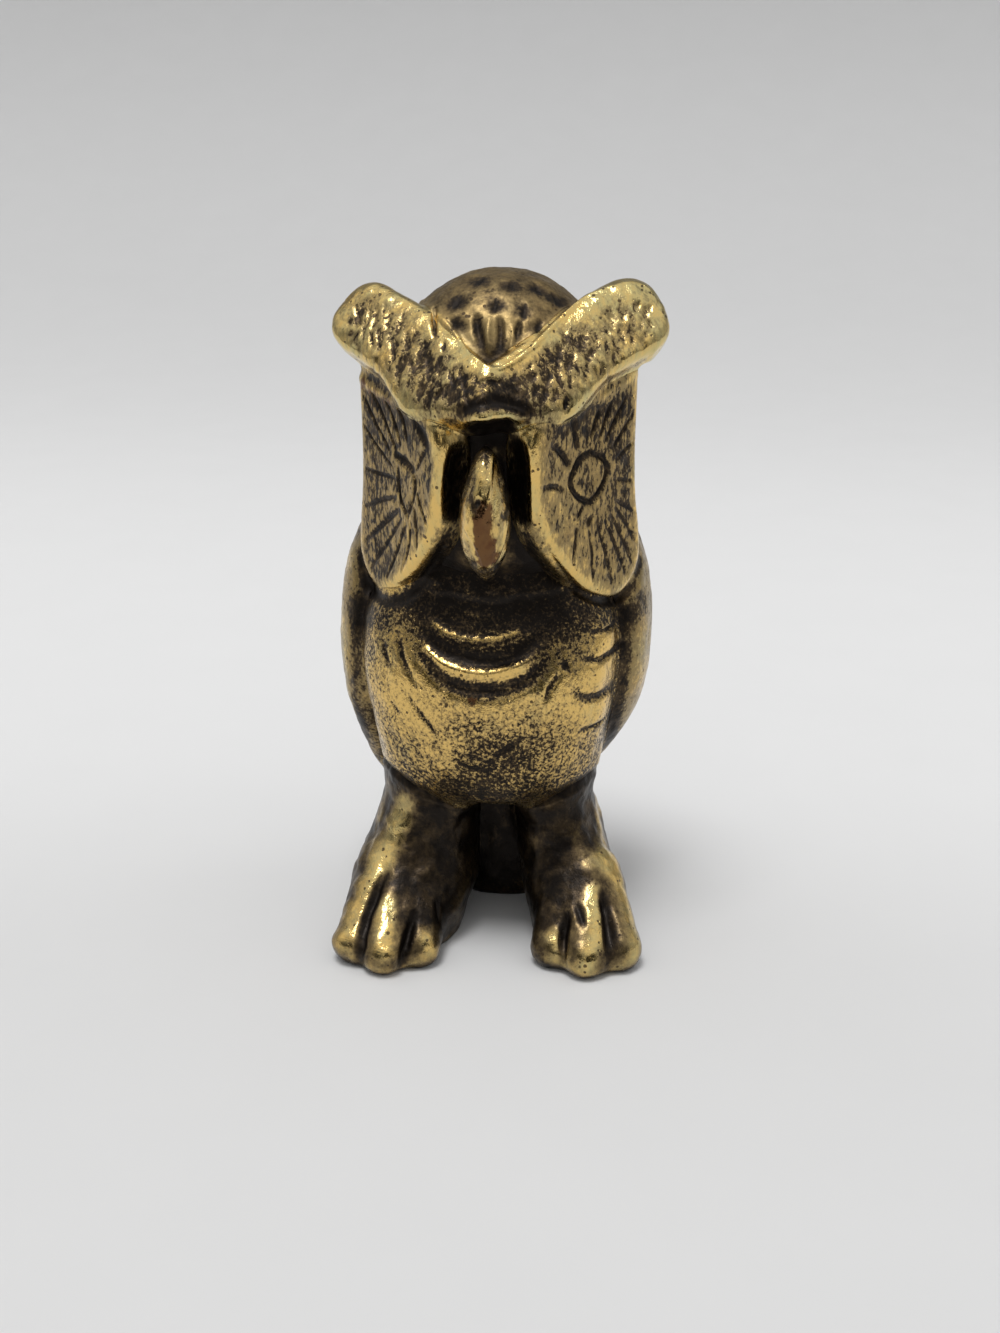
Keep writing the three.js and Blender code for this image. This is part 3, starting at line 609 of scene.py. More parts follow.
# round dimples on the crown
crownDimples = [
    (480, 281), (511, 285), (538, 288), (457, 303), (495, 306), (524, 312), (556, 298), (538, 328),
    (455, 325),
]
crownCuts = cutRows(*[(2.2, 0.22, 0.55, x - 3, y, x + 3, y + 1) for x, y in crownDimples])
faceCuts = cutRows(
    # owl's left: the eye, the short dark strokes beside it, then the fan
    (0.64, 0.4, 0.8, 592, 452, 604, 459, 607, 470, 601, 488, 590, 502, 577, 495, 572, 481, 580, 461,
     592, 452),
    (0.81, 0.4, 0.8, 574, 421, 576, 434, 578, 446),
    (0.85, 0.4, 0.8, 553, 445, 562, 453, 570, 465),
    (0.68, 0.3, 0.8, 544, 488, 555, 487, 564, 490),
    (0.68, 0.3, 0.8, 592, 517, 588, 526),
    (0.45, 0.22, 0.544, 599, 411, 592, 436),
    (0.45, 0.22, 0.544, 611, 403, 599, 440),
    (0.45, 0.22, 0.544, 625, 398, 606, 440),
    (0.45, 0.22, 0.544, 634, 412, 614, 446),
    (0.41, 0.2, 0.472, 636, 440, 617, 458),
    (0.45, 0.2, 0.472, 634, 481, 615, 479),
    (0.45, 0.2, 0.472, 636, 512, 616, 500),
    (0.45, 0.25, 0.544, 597, 521, 605, 552, 612, 582),
    (0.45, 0.25, 0.544, 605, 521, 616, 548, 627, 577),
    (0.45, 0.25, 0.544, 611, 515, 623, 540, 634, 566),
    (0.45, 0.22, 0.472, 615, 508, 627, 525, 638, 546),
    (0.41, 0.22, 0.544, 589, 530, 592, 556, 593, 581),
    (0.41, 0.22, 0.544, 577, 529, 575, 548, 573, 565),
    (0.36, 0.18, 0.408, 583, 507, 578, 520),
    # owl's right
    (0.94, 0.45, 0.8, 396, 455, 404, 462, 412, 471),
    (0.59, 0.35, 0.8, 398, 468, 398, 486, 401, 503, 408, 516),
    (0.45, 0.25, 0.472, 412, 471, 415, 486, 412, 502, 408, 516),
    (1.3, 0.35, 0.8, 411, 416, 419, 431, 427, 447),
    (0.59, 0.25, 0.64, 425, 449, 416, 469),
    (0.45, 0.25, 0.544, 364, 395, 376, 424, 390, 452),
    (0.45, 0.25, 0.544, 372, 392, 384, 420, 395, 448),
    (0.41, 0.22, 0.472, 384, 398, 393, 420, 400, 445),
    (0.41, 0.22, 0.472, 394, 400, 402, 420, 406, 440),
    (0.41, 0.22, 0.472, 364, 425, 378, 448, 392, 466),
    (0.45, 0.22, 0.472, 366, 468, 380, 474, 394, 478),
    (0.54, 0.25, 0.544, 366, 506, 380, 500, 394, 497),
    (0.59, 0.3, 0.72, 366, 541, 384, 522, 398, 510),
    (0.45, 0.25, 0.544, 371, 568, 388, 540, 401, 519),
    (0.45, 0.25, 0.544, 387, 577, 397, 549, 406, 524),
    (0.41, 0.22, 0.472, 402, 570, 408, 548, 411, 524),
    (0.41, 0.22, 0.472, 416, 548, 416, 530, 414, 508),
    (0.41, 0.22, 0.472, 426, 524, 421, 510, 417, 494),
)
breastCuts = cutRows(
    # the two dark lines under the disc lobes: real grooves, their darkness painted shadow of the lobes
    (1.3, 0.4, 1, 360, 552, 364, 578, 376, 595, 394, 601, 412, 594, 427, 574, 441, 548),
    (1.3, 0.4, 1, 640, 560, 633, 584, 618, 598, 600, 601, 582, 594, 566, 578, 551, 556, 539, 530),
    (1.9, 0.55, 1, 420, 650, 436, 674, 460, 688, 495, 691, 524, 682, 545, 664),
    (1.8, 0.4, 1, 424, 634, 444, 651, 482, 661, 514, 657, 536, 640),
    (1.1, -0.35, 0, 422, 647, 440, 662, 462, 671, 487, 674, 512, 668, 530, 659),
    (0.6, -0.22, 0, 434, 623, 445, 632, 463, 638, 482, 640, 500, 638, 518, 632),
    (0.5, -0.15, 0, 463, 611, 478, 617, 493, 615),
    (0.9, 0.4, 1, 586, 659, 600, 660, 612, 652, 621, 643),
    (1.1, 0.45, 1, 574, 692, 586, 698, 600, 695, 613, 688),
    (0.6, 0.3, 0.8, 580, 730, 594, 726, 608, 714),
    (0.8, 0.25, 0.7, 594, 632, 606, 630, 615, 622),
    (0.7, 0.3, 1, 545, 699, 551, 686, 559, 676),
    (0.9, 0.3, 1, 563, 662, 568, 670),
    (0.7, 0.3, 0.9, 399, 637, 403, 660, 415, 683),
    (0.5, 0.25, 0.9, 405, 692, 420, 714, 436, 734),
    (0.5, 0.2, 0.8, 390, 700, 398, 714),
    (0.6, 0.2, 0.6, 383, 640, 388, 664),
    (4.2, -0.4, 0, 590, 680, 608, 668),
    (4, -0.35, 0, 592, 716, 608, 706),
    (3.2, -0.3, 0, 598, 645, 614, 632),
    (0.9, -0.3, 0, 446, 548, 456, 574, 478, 587, 502, 587, 517, 574, 523, 552),
    (0.8, -0.2, 0, 434, 590, 456, 592, 478, 597, 504, 598, 528, 580),
    (0.6, 0.2, 0.8, 454, 761, 470, 769, 486, 771),
    (0.7, 0.2, 0.8, 520, 740, 506, 750, 496, 755),
)
footCuts = cutRows(
    (1.5, 0.9, 1, 384, 873, 374, 896, 364, 925, 359, 962),
    (1.2, 0.8, 1, 414, 915, 408, 938, 403, 966),
    (1.2, 0.8, 1, 566, 918, 562, 940, 561, 962),
    (1.5, 0.9, 1, 603, 894, 608, 920, 611, 952),
    (0.8, 0.3, 0.7, 436, 902, 441, 925),
    (0.9, 0.3, 0.7, 576, 905, 584, 925),
)
beakCuts = cutRows(
    (0.7, -0.25, 0, 492, 452, 489, 480, 487, 508),
    (0.6, 0.3, 1, 478, 500, 477, 506),
    (0.5, -0.2, 0, 466, 528, 478, 548, 484, 566),
    (0.5, -0.2, 0, 509, 520, 502, 545, 495, 562),
)


# Broad drifts of patina and of painted shade, and places rubbed bare or standing in for painted
# highlights (negative). A row gives the radius in mm, the amount and the pixels of the course.
def stainRows(*rows):
    return [dict(radius=row[0], amount=row[1], course=pairs(row[2:])) for row in rows]


stainsAndPaintedLight = stainRows(
    # crown and brow
    *[(0.75, 0.42, x - 2, y, x + 2, y + 1) for x, y in crownDimples],
    (2.4, -0.25, 485, 320, 505, 325, 530, 325),
    # the V ridge and the brow's edges bare, partly wear and partly painted highlight
    (0.5, -0.6, 434, 312, 452, 332, 470, 354, 490, 369, 505, 366, 530, 349, 555, 323),
    (1.1, -0.5, 383, 284, 413, 298, 452, 330, 490, 368, 530, 350, 583, 298, 618, 281),
    (1, -0.3, 346, 352, 366, 382, 400, 405),
    (1, -0.4, 659, 348, 640, 370, 600, 396),
    (2.4, 0.12, 380, 345, 410, 370, 445, 395),
    (1.8, 0.1, 550, 372, 575, 350, 590, 340),
    # painted highlight on the upper part of the owl's left brow arm
    (3, -0.4, 590, 315, 615, 300, 640, 300),
    # painted shade under the middle of the brow
    (1.8, 0.4, 432, 424, 455, 406, 490, 396, 520, 400, 548, 412),
    (2.6, 0.08, 400, 385, 440, 395, 500, 385, 560, 380),
    # rims of the niche and of the discs
    (0.45, -1, 437, 450, 441, 439, 455, 430, 473, 422, 495, 417, 514, 422, 525, 435, 531, 450),
    (0.9, 0.6, 462, 411, 474, 407, 495, 402, 516, 405, 528, 411),
    (0.8, -0.6, 441, 446, 446, 434, 454, 427),
    (0.8, -0.6, 531, 450, 529, 438, 523, 430),
    (1.1, -0.8, 437, 425, 442, 470, 438, 515, 420, 552, 402, 583, 380, 597),
    (1.1, -0.8, 531, 442, 535, 475, 534, 505, 547, 540, 570, 578, 595, 598, 620, 597, 634, 578),
    (1.8, -0.25, 560, 500, 575, 550, 600, 585),
    (3.2, 0.2, 372, 410, 368, 480, 374, 560),
    (2.8, 0.2, 622, 410, 628, 480, 622, 550),
    # niche and neck
    # painted shade with patina down the niche's walls and under its top
    (1.6, 0.8, 448, 450, 448, 500, 446, 540, 440, 575),
    (1.6, 0.8, 526, 450, 527, 500, 530, 540, 545, 580),
    (1.4, 0.8, 470, 440, 497, 434, 515, 442),
    # painted shadow under the disc lobes
    (2.6, 0.6, 350, 606, 380, 610, 440, 600, 490, 605, 545, 598, 590, 612, 640, 604),
    (3, 0.45, 440, 622, 490, 625, 540, 618),
    (2.2, 0.42, 438, 540, 448, 572, 485, 588, 518, 578, 532, 545),
    (0.9, -0.4, 432, 588, 446, 572, 466, 590),
    (0.9, -0.4, 510, 590, 524, 572, 544, 588),
    # the lips' glints: bare, partly wear and partly painted highlight
    (0.25, -0.8, 434, 623, 445, 632, 463, 638, 482, 640, 500, 638, 518, 632),
    (0.25, -0.5, 463, 611, 478, 617, 493, 615),
    (2, 0.5, 440, 650, 483, 666, 535, 648),
    (2.6, 0.28, 555, 630, 575, 650),
    # breast: bare middle, drifts below and at the flanks, painted shade with patina in the grooves beside
    # the wings
    (0.6, -0.8, 424, 648, 450, 668, 485, 675, 520, 668),
    (3.2, -0.3, 410, 690, 450, 712, 520, 705, 570, 690),
    (1.6, -0.5, 598, 672, 612, 662),
    (1.4, -0.4, 600, 645, 615, 632),
    (1.8, -0.4, 590, 712, 608, 700),
    (2, -0.25, 405, 705, 420, 735, 440, 752),
    (4.2, 0.3, 475, 722, 515, 730, 540, 745, 490, 765),
    (3, 0.15, 420, 740, 455, 765, 520, 770),
    (2.2, 0.1, 372, 660, 371, 720, 382, 765),
    (1, 0.6, 358, 605, 354, 650, 356, 700, 368, 750),
    (2.2, 0.2, 368, 620, 375, 650),
    (1, 0.6, 626, 615, 625, 660, 620, 700, 610, 740),
    (1.8, 0.05, 618, 690, 612, 740, 590, 770),
    (2.4, 0.6, 395, 778, 440, 790, 490, 797, 550, 790, 590, 775),
    # wings: bare upper edges and flanks, partly painted highlight; drifts at their lower ends
    (1.4, -0.5, 350, 556, 342, 580, 342, 620),
    (2, -0.25, 346, 590, 343, 640, 348, 690),
    (2, -0.25, 646, 590, 648, 640, 643, 690),
    (2.4, 0.3, 352, 720, 366, 750),
    (2.6, 0.45, 636, 715, 622, 745),
    # legs: black between them as painted shadow, dark fronts, bare flanks and toes partly as painted
    # highlight
    (6.5, 1, 480, 815, 490, 850, 490, 885),
    (1.8, -1.2, 404, 802, 395, 832, 380, 862),
    (1.6, -0.5, 388, 784, 380, 812, 372, 840),
    (1.4, -0.8, 380, 860, 368, 884, 354, 912, 344, 940),
    (1.2, -1.1, 389, 905, 386, 925, 383, 950),
    (0.9, -0.9, 428, 940, 430, 948),
    (0.8, -0.45, 352, 958, 384, 972, 412, 966, 436, 955),
    (1.8, -0.85, 596, 790, 601, 830, 608, 860),
    (1.5, -0.45, 576, 838, 582, 856),
    (1.3, -0.8, 608, 860, 624, 896, 634, 930, 636, 952),
    (1.1, -1.1, 592, 892, 596, 916, 596, 940, 588, 964),
    (1, -0.8, 554, 936, 560, 955),
    (0.8, -0.45, 550, 960, 576, 970, 596, 974, 632, 962),
    # beak: a painted highlight down its ridge and painted dark reflections beside it; its edges bare
    (0.5, -0.8, 494, 450, 495, 485, 496, 515),
    (0.6, 0.4, 472, 500, 480, 530),
    (0.7, 0.95, 505, 468, 507, 492, 506, 518),
    (0.5, 0.4, 514, 480, 515, 505, 512, 530),
    (0.4, 0.4, 476, 478, 471, 500),
    (0.6, -0.8, 470, 520, 474, 545, 481, 563),
    (0.6, -0.7, 505, 500, 506, 530, 501, 556),
    (0.7, -0.45, 481, 468, 476, 495),
    (0.7, -0.4, 489, 518, 488, 540, 488, 562),
)
# places where the metal is coppery
coppery = stainRows(
    (1.3, 1.1, 484, 512, 483, 538, 487, 560),
    (0.7, 0.9, 471, 694, 472, 702),
    (1.4, 0.6, 348, 365, 366, 390, 392, 408),
    (2, 0.4, 395, 785, 440, 796, 500, 800),
)


# Smooth curve through the given points: Catmull-Rom
def smoothCourse(points, count):
    points = np.array(points, float)
    t = np.linspace(0, 1, count)
    stations = np.linspace(0, 1, len(points))
    return np.stack([along(t, list(zip(stations, column))) for column in points.T], -1)


# Where the rays through these pixels meet the skin
def pixelsToSkin(pixels):
    place, right, up, ahead = cameraAxes()
    u = (pixels[:, 0] - photo["size"][0] / 2) / photo["focal"]
    v = (pixels[:, 1] - photo["size"][1] / 2) / photo["focal"]
    heading = ahead + u[:, None] * right - v[:, None] * up
    heading /= np.linalg.norm(heading, axis=1)[:, None]
    start = np.repeat(place[None], len(pixels), 0)
    count = len(pixels)
    # the owl lies between 135 and 215 mm from the camera
    near, far = np.full(count, 135.0), np.full(count, 215.0)
    t = enterFromOutside(lambda p: skinGap(gapsAt(p, list(shapes))), start, heading, near, far, 160, 8)
    return start + heading * t[:, None]


# Cuts that the photograph doesn't show, worked out on the shapes themselves
hidden = dict(
    feathers=(15, 38, 60, 80),  # angles down the wings, behind the edge that the photograph shows
    scallops=((44, 30), (38, 36), (32, 30)),  # on the back: their heights and reach in degrees
    grooves=(-2.1, 2.1),  # x of the grooves down the tail
)


def hiddenCuts():
    cuts = []

    def add(x, y, z, wide, deep):
        line = np.stack(np.broadcast_arrays(x, y, z), -1)
        cuts.append(dict(line=line, wide=wide, deep=deep, dark=0.9))

    for side in (-1, 1):
        for k, angle in enumerate(np.radians(hidden["feathers"])):
            z = np.linspace(19 + 1.5 * k, 44 - 2.0 * k, 14)
            x, y, a, b = wingOval(z, side)
            add(x + side * math.cos(angle) ** 0.9 * a, y + math.sin(angle) ** 0.9 * b, z, 1.0, 0.35)
    for middle, reach in hidden["scallops"]:
        t = np.linspace(-1, 1, 16)
        z = middle - 2.5 * (1 - t**2)
        turn = np.radians(reach * t)
        x, y = along(z, torso["half"]) * np.sin(turn), along(z, torso["spine"]) * np.cos(turn) ** 0.87
        add(x, y, z, 1.1, 0.35)
    for x in hidden["grooves"]:
        add(x, tailBack - 0.1, np.linspace(3, 21, 10), 1.0, 0.4)
    return cuts


# Hatching on the brow arms: rows of short upright cuts, uneven as by hand, between the pixel
# courses upper and lower of each arm
hatching = dict(
    count=34, rows=3, rowStep=0.33, lean=3.0,
    arms=(
        ([(352, 312), (385, 308), (420, 330), (455, 356), (488, 384)],
         [(350, 345), (375, 370), (405, 390), (440, 402), (488, 400)]),
        ([(650, 305), (612, 305), (580, 325), (545, 350), (508, 380)],
         [(648, 335), (620, 362), (590, 383), (550, 398), (508, 400)]),
    ),
)


def browHatching():
    cuts = []
    for arm in hatching["arms"]:
        for top, foot in zip(*(smoothCourse(course, hatching["count"]) for course in arm)):
            for row in range(hatching["rows"]):
                first = hatching["rowStep"] * row + 0.3 * rng.random() - 0.08
                last = first + 0.15 + 0.25 * rng.random()
                leans = rng.normal(0, hatching["lean"], 2)
                ends = [top + (foot - top) * t + np.array([dx, 0]) for t, dx in zip((first, last), leans)]
                wide, deep = 0.35 + 0.45 * rng.random(), 0.06 + 0.2 * rng.random()
                cuts.append(dict(course=ends, wide=wide, deep=deep, dark=0.5 * rng.random() ** 2))
    return cuts


# Random values on a wrapped lattice, blended between its points by 3t^2 - 2t^3
lattice = rng.random((64, 64, 64)).astype(np.float32)


def grain(points, size, seed=0):
    p = points / size + 17.3 * seed
    cell = np.floor(p).astype(int)
    f = p - cell
    f = f * f * (3 - 2 * f)
    value = 0
    for corner in np.ndindex(2, 2, 2):
        weight = np.prod(np.where(corner, f, 1 - f), axis=1)
        i, j, k = (cell + np.array(corner)).T % len(lattice)
        value = value + weight * lattice[i, j, k]
    return value


# Points near a line, their distance from it, and where along it they are, from 0 to 1
def nearLine(points, line, reach):
    low, high = line.min(0) - reach, line.max(0) + reach
    near = np.flatnonzero(np.all((points > low) & (points < high), axis=1))
    p = points[near]
    best, where = np.full(len(p), 1e9), np.zeros(len(p))
    for i in range(len(line) - 1):
        step = line[i + 1] - line[i]
        t = np.clip((p - line[i]) @ step / (step @ step + 1e-9), 0, 1)
        away = np.linalg.norm(p - line[i] - t[:, None] * step, axis=1)
        closer = away < best
        best[closer], where[closer] = away[closer], (i + t[closer]) / (len(line) - 1)
    return near, best, where


# Depth and darkness that the cuts give to these points. With u the distance to a cut's line over
# its half width: deep e^(-1.4 u^2) and dark e^(-u^4), both thinning out at its ends by sqrt(sin)
def carve(points, cuts):
    depth, dark = np.zeros(len(points)), np.zeros(len(points))
    for one in cuts:
        line, half = one["line"], 0.5 * one["wide"]
        near, best, where = nearLine(points, line, 3.2 * half)
        if not len(near):
            continue
        closed = np.linalg.norm(line[0] - line[-1]) < 0.3
        taper = 1 if closed else np.clip(np.sin(np.pi * (0.04 + 0.92 * where)), 0, 1) ** 0.5
        u = best / half
        change = one["deep"] * np.exp(-1.4 * u**2) * taper
        depth[near] = np.where(np.abs(change) > np.abs(depth[near]), change, depth[near])
        dark[near] = np.maximum(dark[near], one["dark"] * np.exp(-(u**4)) * taper)
    return depth, dark


# Sum of the stains at these points, each amount e^(-u^2), u being distance over radius
def summed(points, drifts):
    total = np.zeros(len(points))
    for one in drifts:
        near, best, where = nearLine(points, one["line"], 2.2 * one["radius"])
        total[near] += one["amount"] * np.exp(-((best / one["radius"]) ** 2))
    return total


# Mean of an array over a window along the grid, twice: wrapped round the rings (axis 1), and with
# the end rows repeated along the rows (axis 0)
def blur(values, radius):
    span = 2 * radius + 1
    for axis, mode in ((1, "wrap"), (0, "edge")) * 2:
        margin = [(radius + 1, radius) if one == axis else (0, 0) for one in range(3)]
        total = np.moveaxis(np.cumsum(np.pad(values, margin, mode), axis), axis, 0)
        values = np.moveaxis((total[span:] - total[:-span]) / span, 0, axis)
    return values


def gridNormals(grid):
    around = np.roll(grid, -1, 1) - np.roll(grid, 1, 1)
    down = np.gradient(grid, axis=0)
    normal = np.cross(around, down)
    size = np.linalg.norm(normal, axis=2, keepdims=True)
    return normal / np.maximum(size, 1e-9)


# A value or vector socket of a shader, on which expressions add their nodes
class Wire:
    def __init__(self, tree, socket):
        self.tree, self.socket = tree, socket

    def maths(self, operation, other, swap=False):
        values = [other, self] if swap else [self, other]
        return self.tree.node("ShaderNodeMath", dict(operation=operation), values)

    __add__ = __radd__ = partialmethod(maths, "ADD")
    __sub__ = partialmethod(maths, "SUBTRACT")
    __rsub__ = partialmethod(maths, "SUBTRACT", swap=True)
    __mul__ = __rmul__ = partialmethod(maths, "MULTIPLY")
    __truediv__ = partialmethod(maths, "DIVIDE")
    __pow__ = partialmethod(maths, "POWER")
    most = partialmethod(maths, "MAXIMUM")
    least = partialmethod(maths, "MINIMUM")

    # smooth step from 0 at low to 1 at high; falls instead where low is the greater
    def step(self, low, high):
        settings = dict(interpolation_type="SMOOTHSTEP")
        up = low < high
        ends = (low, high, 0, 1) if up else (high, low, 1, 0)
        return self.tree.node("ShaderNodeMapRange", settings, [self, *ends])


# The node tree of a material or world
class Shading:
    def __init__(self, owner, shader="Principled BSDF"):
        self.owner = owner
        owner.use_nodes = True
        self.nodes, self.links = owner.node_tree.nodes, owner.node_tree.links
        self.shader = self.nodes[shader]

    def put(self, socket, value):
        if isinstance(value, Wire):
            self.links.new(value.socket, socket)
        else:
            socket.default_value = value

    # adds a node: its settings first, then its sockets by name or in order; gives one output
    def node(self, kind, settings=None, sockets=(), output=0):
        node = self.nodes.new(kind)
        for word, value in (settings or {}).items():
            setattr(node, word, value)
        pairs = sockets.items() if isinstance(sockets, dict) else enumerate(sockets)
        for key, value in pairs:
            self.put(node.inputs[key], value)
        return Wire(self, node.outputs[output])

    def split(self, vector):
        return [self.node("ShaderNodeSeparateXYZ", None, [vector], axis) for axis in "XYZ"]

    def attribute(self, name):
        return self.node("ShaderNodeAttribute", dict(attribute_name=name), (), "Fac")

    def noise(self, place, size, detail=3, roughness=0.55, lean=0):
        sockets = dict(Vector=place, Scale=1000 / size, Detail=detail, Roughness=roughness, Distortion=lean)
        return self.node("ShaderNodeTexNoise", None, sockets)

    def mix(self, share, first, second):
        sockets = {0: share, 6: first, 7: second}
        return self.node("ShaderNodeMix", dict(data_type="RGBA"), sockets, 2)

    def finish(self, **sockets):
        for name, value in sockets.items():
            self.put(self.shader.inputs[name.replace("_", " ")], value)
        return self.owner


def tint(r, g, b):
    return r, g, b, 1


# Finish of each kind of piece. worked: unevenness of its wax in mm; soot: how much patina lies
# outside the cuts; polish: how bare the high places are; drift: how far it wanders in broad
# patches; fray and grit: how much it breaks into flecks and grains; stretch: less than 1 draws
# these upright; olive: share of greener metal; tarnish: how brown the bare metal is; soft: softness
# of the patina's borders; matt: least roughness
looks = ("worked", "sootAndPaintedLight", "polish", "drift", "fray", "grit", "stretch", "olive", "tarnish", "soft", "matt")
finishes = dict(
    torso=(0.16, 0.22, 0.6, 0.35, 1.0, 3.2, 1, 0.25, 0.25, 0.02, 0.15),
    head=(0.2, 0.5, 0.35, 0.5, 0.5, 0.6, 1, 0.4, 1.1, 0.3, 0.3),
    brow=(0.24, 0.12, 0.8, 0.3, 1.0, 1.9, 0.45, 0.52, 0.45, 0.08, 0.15),
    face=(0.16, 0.27, 0.6, 0.4, 1.3, 2.2, 0.4, 0.35, 0.85, 0.06, 0.17),
    beak=(0.22, 0.45, 0.9, 0.6, 1.0, 1.2, 0.6, 0.45, 0.1, 0.12, 0.06),
    wing=(0.16, 0.36, 0.6, 0.5, 0.8, 1.4, 0.8, 0.5, 0.8, 0.14, 0.18),
    leg=(0.3, 0.92, 0.5, 0.5, 0.4, 0.5, 0.8, 0.5, 0.3, 0.26, 0.12),
    tail=(0.25, 0.5, 0.6, 0.6, 0.8, 1.0, 0.8, 0.4, 0.6, 0.2, 0.2),
)
colours = dict(
    gold=tint(0.80, 0.54, 0.18), olive=tint(0.56, 0.48, 0.22), copper=tint(0.11, 0.045, 0.022),
    dull=tint(0.24, 0.175, 0.085), brown=tint(0.085, 0.056, 0.027), dark=tint(0.011, 0.0075, 0.005),
)


# Sizes in mm of the clouds, blotches, grains, dust and pits of the metal, and the height of its bump
texture = dict(cloud=6.5, blotch=2.2, fine=0.7, dust=0.36, pits=0.85, bump=0.18)


# Cast brass with a dark patina: the patina stays in the cuts and in drifts and is rubbed off the high
# places; the same dark layer is painted shade in sheltered corners, the niche, undersides and between
# the legs, and bare places are partly painted highlights; the bare metal is pitted and a little stained
def agedBrass(name, look):
    s = Shading(bpy.data.materials.new(name))
    place = s.node("ShaderNodeTexCoord", None, (), "Object")
    stretch = (1, 1, look["stretch"])
    upright = s.node("ShaderNodeVectorMath", dict(operation="MULTIPLY"), [place, stretch])
    # the first attribute holds patina together with painted shade and painted highlights
    sootAndPaintedLight, warm = s.attribute("sootAndPaintedLight"), s.attribute("warm")
    cloud = s.noise(place, texture["cloud"], 4, 0.6)
    blotch = s.noise(place, texture["blotch"], 5, 0.62, 0.4)
    fine = s.noise(upright, texture["fine"], 4, 0.65)
    dust = s.noise(upright, texture["dust"], 2, 0.7)
    # patina, with painted shade and painted highlights: what the shape says, with ragged borders from the
    # noises. Thin patina breaks up into grains in the pits of the metal, and thick patina is less broken.
    ragged = (cloud + blotch - 1) * look["drift"]
    ragged = ragged + (fine - 0.5) * look["fray"] + (dust - 0.5) * look["grit"]
    cover = sootAndPaintedLight + ragged * (1 - sootAndPaintedLight.step(0.5, 1.05) * 0.45)
    thick = cover.step(0.46 - look["soft"], 0.56 + look["soft"])
    thin = (cover + look["tarnish"] * 0.5 + (fine - 0.5) * 0.6).step(-0.3, 0.7)
    pits = s.node("ShaderNodeTexVoronoi", None, dict(Vector=place, Scale=1000 / texture["pits"]))
    size = s.noise(place, 1.6, 1).step(0.38, 0.7) * 0.24
    holes = (pits - size).step(0.05, -0.02)
    green = (cloud * 0.6 + fine * 0.4 + (look["olive"] - 0.5) * 0.5).step(0.36, 0.66)
    metal = s.mix(green, colours["gold"], colours["olive"])
    stainedMetal = s.mix(thin * 0.85, metal, colours["dull"])
    ruddy = (warm + (fine + blotch - 1) * 1.2).step(0.4, 0.65) * 0.92
    ruddy = (ruddy + s.noise(place, 3.1, 3).step(0.58, 0.78) * 0.22).least(1)
    stainedMetal = s.mix(ruddy, stainedMetal, colours["copper"])
    mask = (thick + holes * 0.9).least(1)
    patinaAndShade = s.mix((cover + (blotch - 0.5) * 0.8).step(0.45, 1.05), colours["brown"], colours["dark"])
    colour = s.mix(mask, stainedMetal, patinaAndShade)
    height = fine * 0.5 + dust * 0.35 + s.noise(upright, 0.16, 2) * 0.15 - mask * 0.4 - holes * 0.4
    bump = dict(Strength=0.6, Distance=texture["bump"] / 1000, Height=height)
    normal = s.node("ShaderNodeBump", None, bump)
    return s.finish(
        Base_Color=colour,
        Metallic=1 - mask * 0.25,
        Roughness=(look["matt"] + thin * 0.14 + mask * 0.1 + (fine - 0.5) * 0.2).most(0.08),
        Normal=normal,
    )


# Lays the courses of all marks, stains and painted light onto the skin
def marksOnSkin():
    cuts = browCuts + browHatching() + crownCuts + faceCuts + breastCuts + footCuts + beakCuts
    marks = cuts + stainsAndPaintedLight + coppery
    courses = [one["course"] for one in marks]
    counts = [7 * len(course) - 6 for course in courses]
    pixels = np.concatenate([smoothCourse(course, n) for course, n in zip(courses, counts)])
    lines = np.split(pixelsToSkin(pixels), np.cumsum(counts)[:-1])
    for one, line in zip(marks, lines):
        one["line"] = line
    return [*cuts, *hiddenCuts()]


def fade(values, low, high):
    t = np.clip((values - low) / (high - low), 0, 1)
    return t * t * (3 - 2 * t)


# Front of the niche's rim, by z
nicheMouth = [(40, -14.2), (58, -14.4), (61, -15.2), (64, -16.3), (70, -16.8)]


# How rough the wax was left: 1 on the faces of discs and brows, and less on their smooth rims
def roughness(name, points):
    side = 1 if name.startswith("left") else -1
    x, y, z = points.T
    # the rim of the niche, on the discs' front edges and under the brow
    mouth = fade(nicheGap(x, y, z), 0.6 * niche["rim"], niche["rim"])
    mouth = np.maximum(mouth, fade(y - along(z, nicheMouth), -0.1, 0.3))
    if name.endswith("disc"):
        a, h = discPlace(x, y, side)
        return (0.2 + 0.8 * fade(-discOutline(a, z), 0.5, 1.7)) * (0.2 + 0.8 * mouth)
    if name.endswith("brow"):
        s, w, n = browPlace(x, y, z, side)
        rim = np.where(w > 0, 0.1, 0)
        face = fade(1 - browPlan(s, w, side), 0.02 + rim, 0.14 + rim) * fade(n, 0.5, 1.5)
        return (1 - 0.8 * (1 - face) * np.where(w > 0, 1, fade(s, 3, 7))) * (0.2 + 0.8 * mouth)
    if name == "head":
        return 0.2 + 0.8 * mouth
    return np.ones(len(points))


# Hand-worked wax: sizes of its lumps, bumps and grains in mm, and how high the lumps stand
wax = dict(lump=5.5, bump=1.9, grain=0.85, lumpHeight=0.35, grainShare=0.6)
# Patina and painted shade: what the back, the cuts, the niche (patina and painted shade), the shelter
# of other shapes (painted shade and patina) and undersides (painted shade) add to it, and what ridges
# and smooth rims take away; above thick it grows by flecked only
patinaAndShade = dict(
    rear=0.45, cuts=0.75, niche=0.9, shelterShade=0.38, undersideShade=0.15, ridge=0.5, rims=0.7, thick=0.75, flecked=0.4,
)


